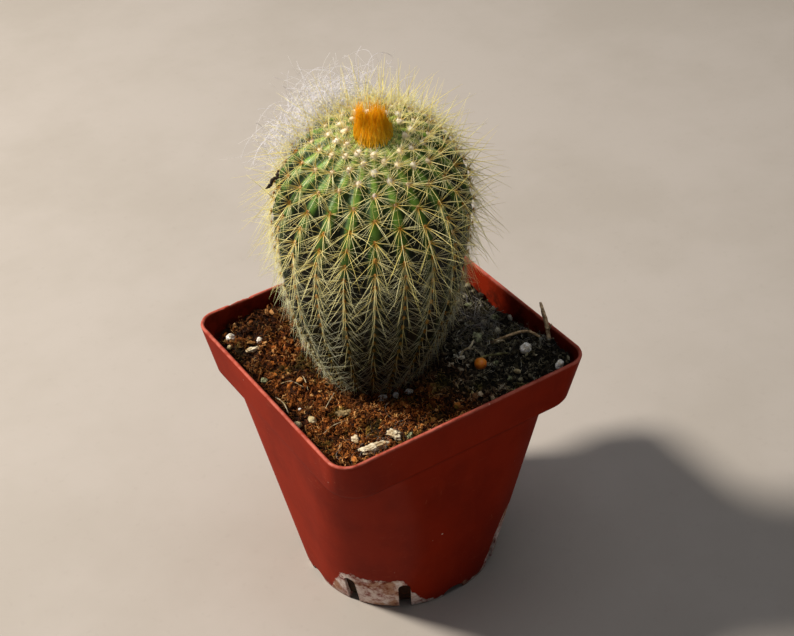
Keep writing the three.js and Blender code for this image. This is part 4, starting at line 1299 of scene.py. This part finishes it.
def make_root(finish):
    bm = rod_along(ROOT, [0.6, 0.5, 0.45, 0.5, 0.35], sides=12, rings=60, rough=0.12, seed=9.0)
    return finished("arched_root", bm, finish, ["root_strand"])


def make_flake(finish):
    """The dark ragged flake held by the spines left of the crown, bent, with a short side splinter."""
    middle = Vector((-29, 7.5, 149.8))
    along = Vector((0.78, 0.09, 0.62)).normalized()
    aside = along.cross(Vector((0.41, 0.68, -0.6))).normalized()

    def line(*steps):
        return [middle + along * far + aside * off for far, off in steps]

    bent = line((-3.1, 0.5), (-1.4, -0.1), (-0.1, 0.3), (1.5, -0.2), (3.1, 0.6))
    bm = rod_along(bent, [0.12, 0.55, 0.36, 0.62, 0.34, 0.5, 0.1], sides=14, rings=44, rough=0.3, seed=4.0)
    splinter = line((1.2, -0.3), (1.9, -1.2), (2.0, -1.9))
    side = rod_along(splinter, [0.26, 0.2, 0.08], sides=8, rings=12, rough=0.08, seed=6.0)
    both = joined("dark_bent_flake", [mesh_of(bm, "flake"), mesh_of(side, "splinter")])
    return finished("dark_bent_flake", both, finish, ["debris_chip"])


# ---- stage, light and camera --------------------------------------------------------------------

def floor_finish():
    material, shader, bench = finish_of("pale_floor", 0.75, 0.25)
    tones = bench.group(MOTTLE, Light=rgb(178, 169, 160), Dark=rgb(171, 162, 152), Patch_Scale=6.0,
                        Speck_Scale=300.0, Speck_Depth=0.05)
    bench.feed(shader["Base Color"], tones)
    return material


def make_floor():
    bm = bmesh.new()
    bmesh.ops.create_grid(bm, x_segments=1, y_segments=1, size=2.5)
    mesh = mesh_of(bm, "floor")
    mesh.materials.append(floor_finish())
    floor = bpy.data.objects.new("floor", mesh)
    bpy.context.scene.collection.objects.link(floor)


OBJECT_MIDDLE = Vector((0, 0, 0.09))
LAMPS = (  # name, place from the object's middle, width, watts, colour
    ("key", Vector((-0.73, 0.67, 1.05)).normalized() * 1.3, 0.2, 27, (1.0, 0.95, 0.87)),
    ("fill", Vector((0.1, -1.0, 0.75)).normalized() * 1.5, 1.2, 0.15, (0.92, 0.95, 1.0)),
    ("overhead", Vector((0.15, -0.1, 1.1)), 0.9, 3.0, (0.94, 0.96, 1.0)),
)


def light_the_stage():
    for name, away, width, watts, colour in LAMPS:
        light = bpy.data.lights.new(name, "AREA")
        light.shape = "DISK"
        light.size = width
        light.energy = watts
        light.color = colour
        lamp = bpy.data.objects.new(name, light)
        lamp.location = OBJECT_MIDDLE + away
        lamp.rotation_euler = (-away).to_track_quat("-Z", "Y").to_euler()
        bpy.context.scene.collection.objects.link(lamp)
    world = bpy.data.worlds.new("studio")
    bpy.context.scene.world = world
    world.use_nodes = True
    background = world.node_tree.nodes["Background"].inputs
    background["Color"].default_value = (0.82, 0.88, 1.0, 1.0)
    background["Strength"].default_value = 0.08
    bpy.context.scene.view_settings.view_transform = "Standard"


def place_camera():
    right = Vector((0.8372, -0.5448, -0.0477))
    up = Vector((0.3621, 0.4869, 0.7949))
    forward = Vector((0.4099, 0.6827, -0.6049))
    camera = bpy.data.cameras.new("camera")
    camera.lens = 69.54
    camera.sensor_width = 36
    camera.clip_start = 0.01
    eye = bpy.data.objects.new("camera", camera)
    turn = Matrix((right, up, -forward)).transposed()
    eye.matrix_world = Matrix.Translation(Vector((-189.1, -321.6, 376.2)) * MM) @ turn.to_4x4()
    bpy.context.scene.collection.objects.link(eye)
    bpy.context.scene.camera = eye


# ---- everything ---------------------------------------------------------------------------------

place_camera()
light_the_stage()
make_floor()

make_pot(pot_plastic())
make_soil_bed(soil_finish("soil_bed", tinted=False))
make_crumbs(soil_finish("coir_crumbs", tinted=True))
coir = soil_finish("coir_thread", tinted=True)
make_coir(coir, "coir_threads", 4600, 2.6, (0.05, 0.13), 13)
make_coir(coir, "coir_shreds", 5600, 1.7, (0.1, 0.22), 14)
# The root hairs' greys are dimmed as painted shade for the shaded right of the soil.
make_root_hairs(strand_finish("root_hair", (rgb(90, 84, 74), rgb(132, 128, 122), rgb(176, 172, 168)),
                              (rgb(80, 70, 52), rgb(116, 108, 88), rgb(160, 152, 132)), 0.6, 0.3))

make_stem(cactus_skin())
# The old tones, duller and darker at the foot, are partly the spines' own ageing and partly painted shade for the
# lower stem.
spines = strand_finish("golden_spines", (rgb(204, 156, 44), rgb(252, 248, 192), rgb(250, 230, 124)),
                       (rgb(150, 136, 66), rgb(234, 236, 206), rgb(226, 216, 146)))
for rib in range(RIBS):
    make_spine_row(rib, spines)
make_areoles(areole_wool())
make_crown_ring(strand_finish("pale_wisps", (rgb(226, 200, 110), rgb(250, 244, 196), rgb(244, 222, 120))))
make_tuft(strand_finish("orange_tuft", (rgb(236, 152, 0), rgb(255, 182, 2), rgb(255, 230, 84)),
                        roughness=0.6, specular=0.02))
make_hair(strand_finish("white_curls", (rgb(226, 220, 226), rgb(250, 248, 252), rgb(240, 236, 248)),
                        (rgb(216, 208, 206), rgb(252, 248, 244), rgb(236, 230, 230)), 0.4, 0.5, 0.05))

grain_finishes = {
    "perlite": mottled("white_perlite", rgb(255, 252, 246), rgb(196, 180, 152), 0.9, patch=900.0, depth=0.7),
    "cream": mottled("cream_perlite", rgb(214, 198, 156), rgb(168, 146, 100), 0.9),
    "bark": mottled("pale_bark", rgb(232, 220, 190), rgb(176, 150, 110), 0.85, patch=420.0),
    "wood": mottled("dry_wood", rgb(156, 134, 92), rgb(92, 72, 44), 0.85, patch=420.0),
    "bead": mottled("bead_coating", rgb(255, 158, 44), rgb(244, 118, 22), 0.45, patch=500.0, relief=0.3,
                    specular=0.5),
}
for number, row in enumerate(GRAINS):
    make_grain(row, number, grain_finishes)
make_twig(mottled("twig_bark", rgb(238, 206, 162), rgb(132, 98, 66), 0.85, patch=500.0))
make_root(mottled("root_bark", rgb(216, 184, 138), rgb(120, 86, 54), 0.85, patch=500.0))
pale_fibre = mottled("pale_fibre", rgb(216, 202, 168), rgb(168, 146, 106), 0.7, patch=600.0)
root_bark = mottled("olive_strand", rgb(150, 146, 96), rgb(84, 78, 44), 0.85, patch=600.0)
for number, (name, kind, points, radii) in enumerate(STRAYS):
    kinds = {"root": (root_bark, "old_root"), "fibre": (pale_fibre, "pale_fibre")}
    make_stray(name, points, radii, *kinds[kind], number * 3.0)
make_moss_lumps(mottled("pale_moss", rgb(170, 172, 132), rgb(84, 88, 56), 0.95, patch=500.0, depth=0.7, relief=0.9))
for number, points in enumerate(FIBRES, 1):
    strand = rod_along(above_soil(points), [0.1, 0.13, 0.07], sides=8, rings=24)
    finished(f"loose_strand_{number:02d}", strand, pale_fibre, [f"fibre_{number:02d}"])
make_flake(mottled("dark_flake", rgb(52, 36, 26), rgb(22, 15, 11), 0.7, patch=600.0))
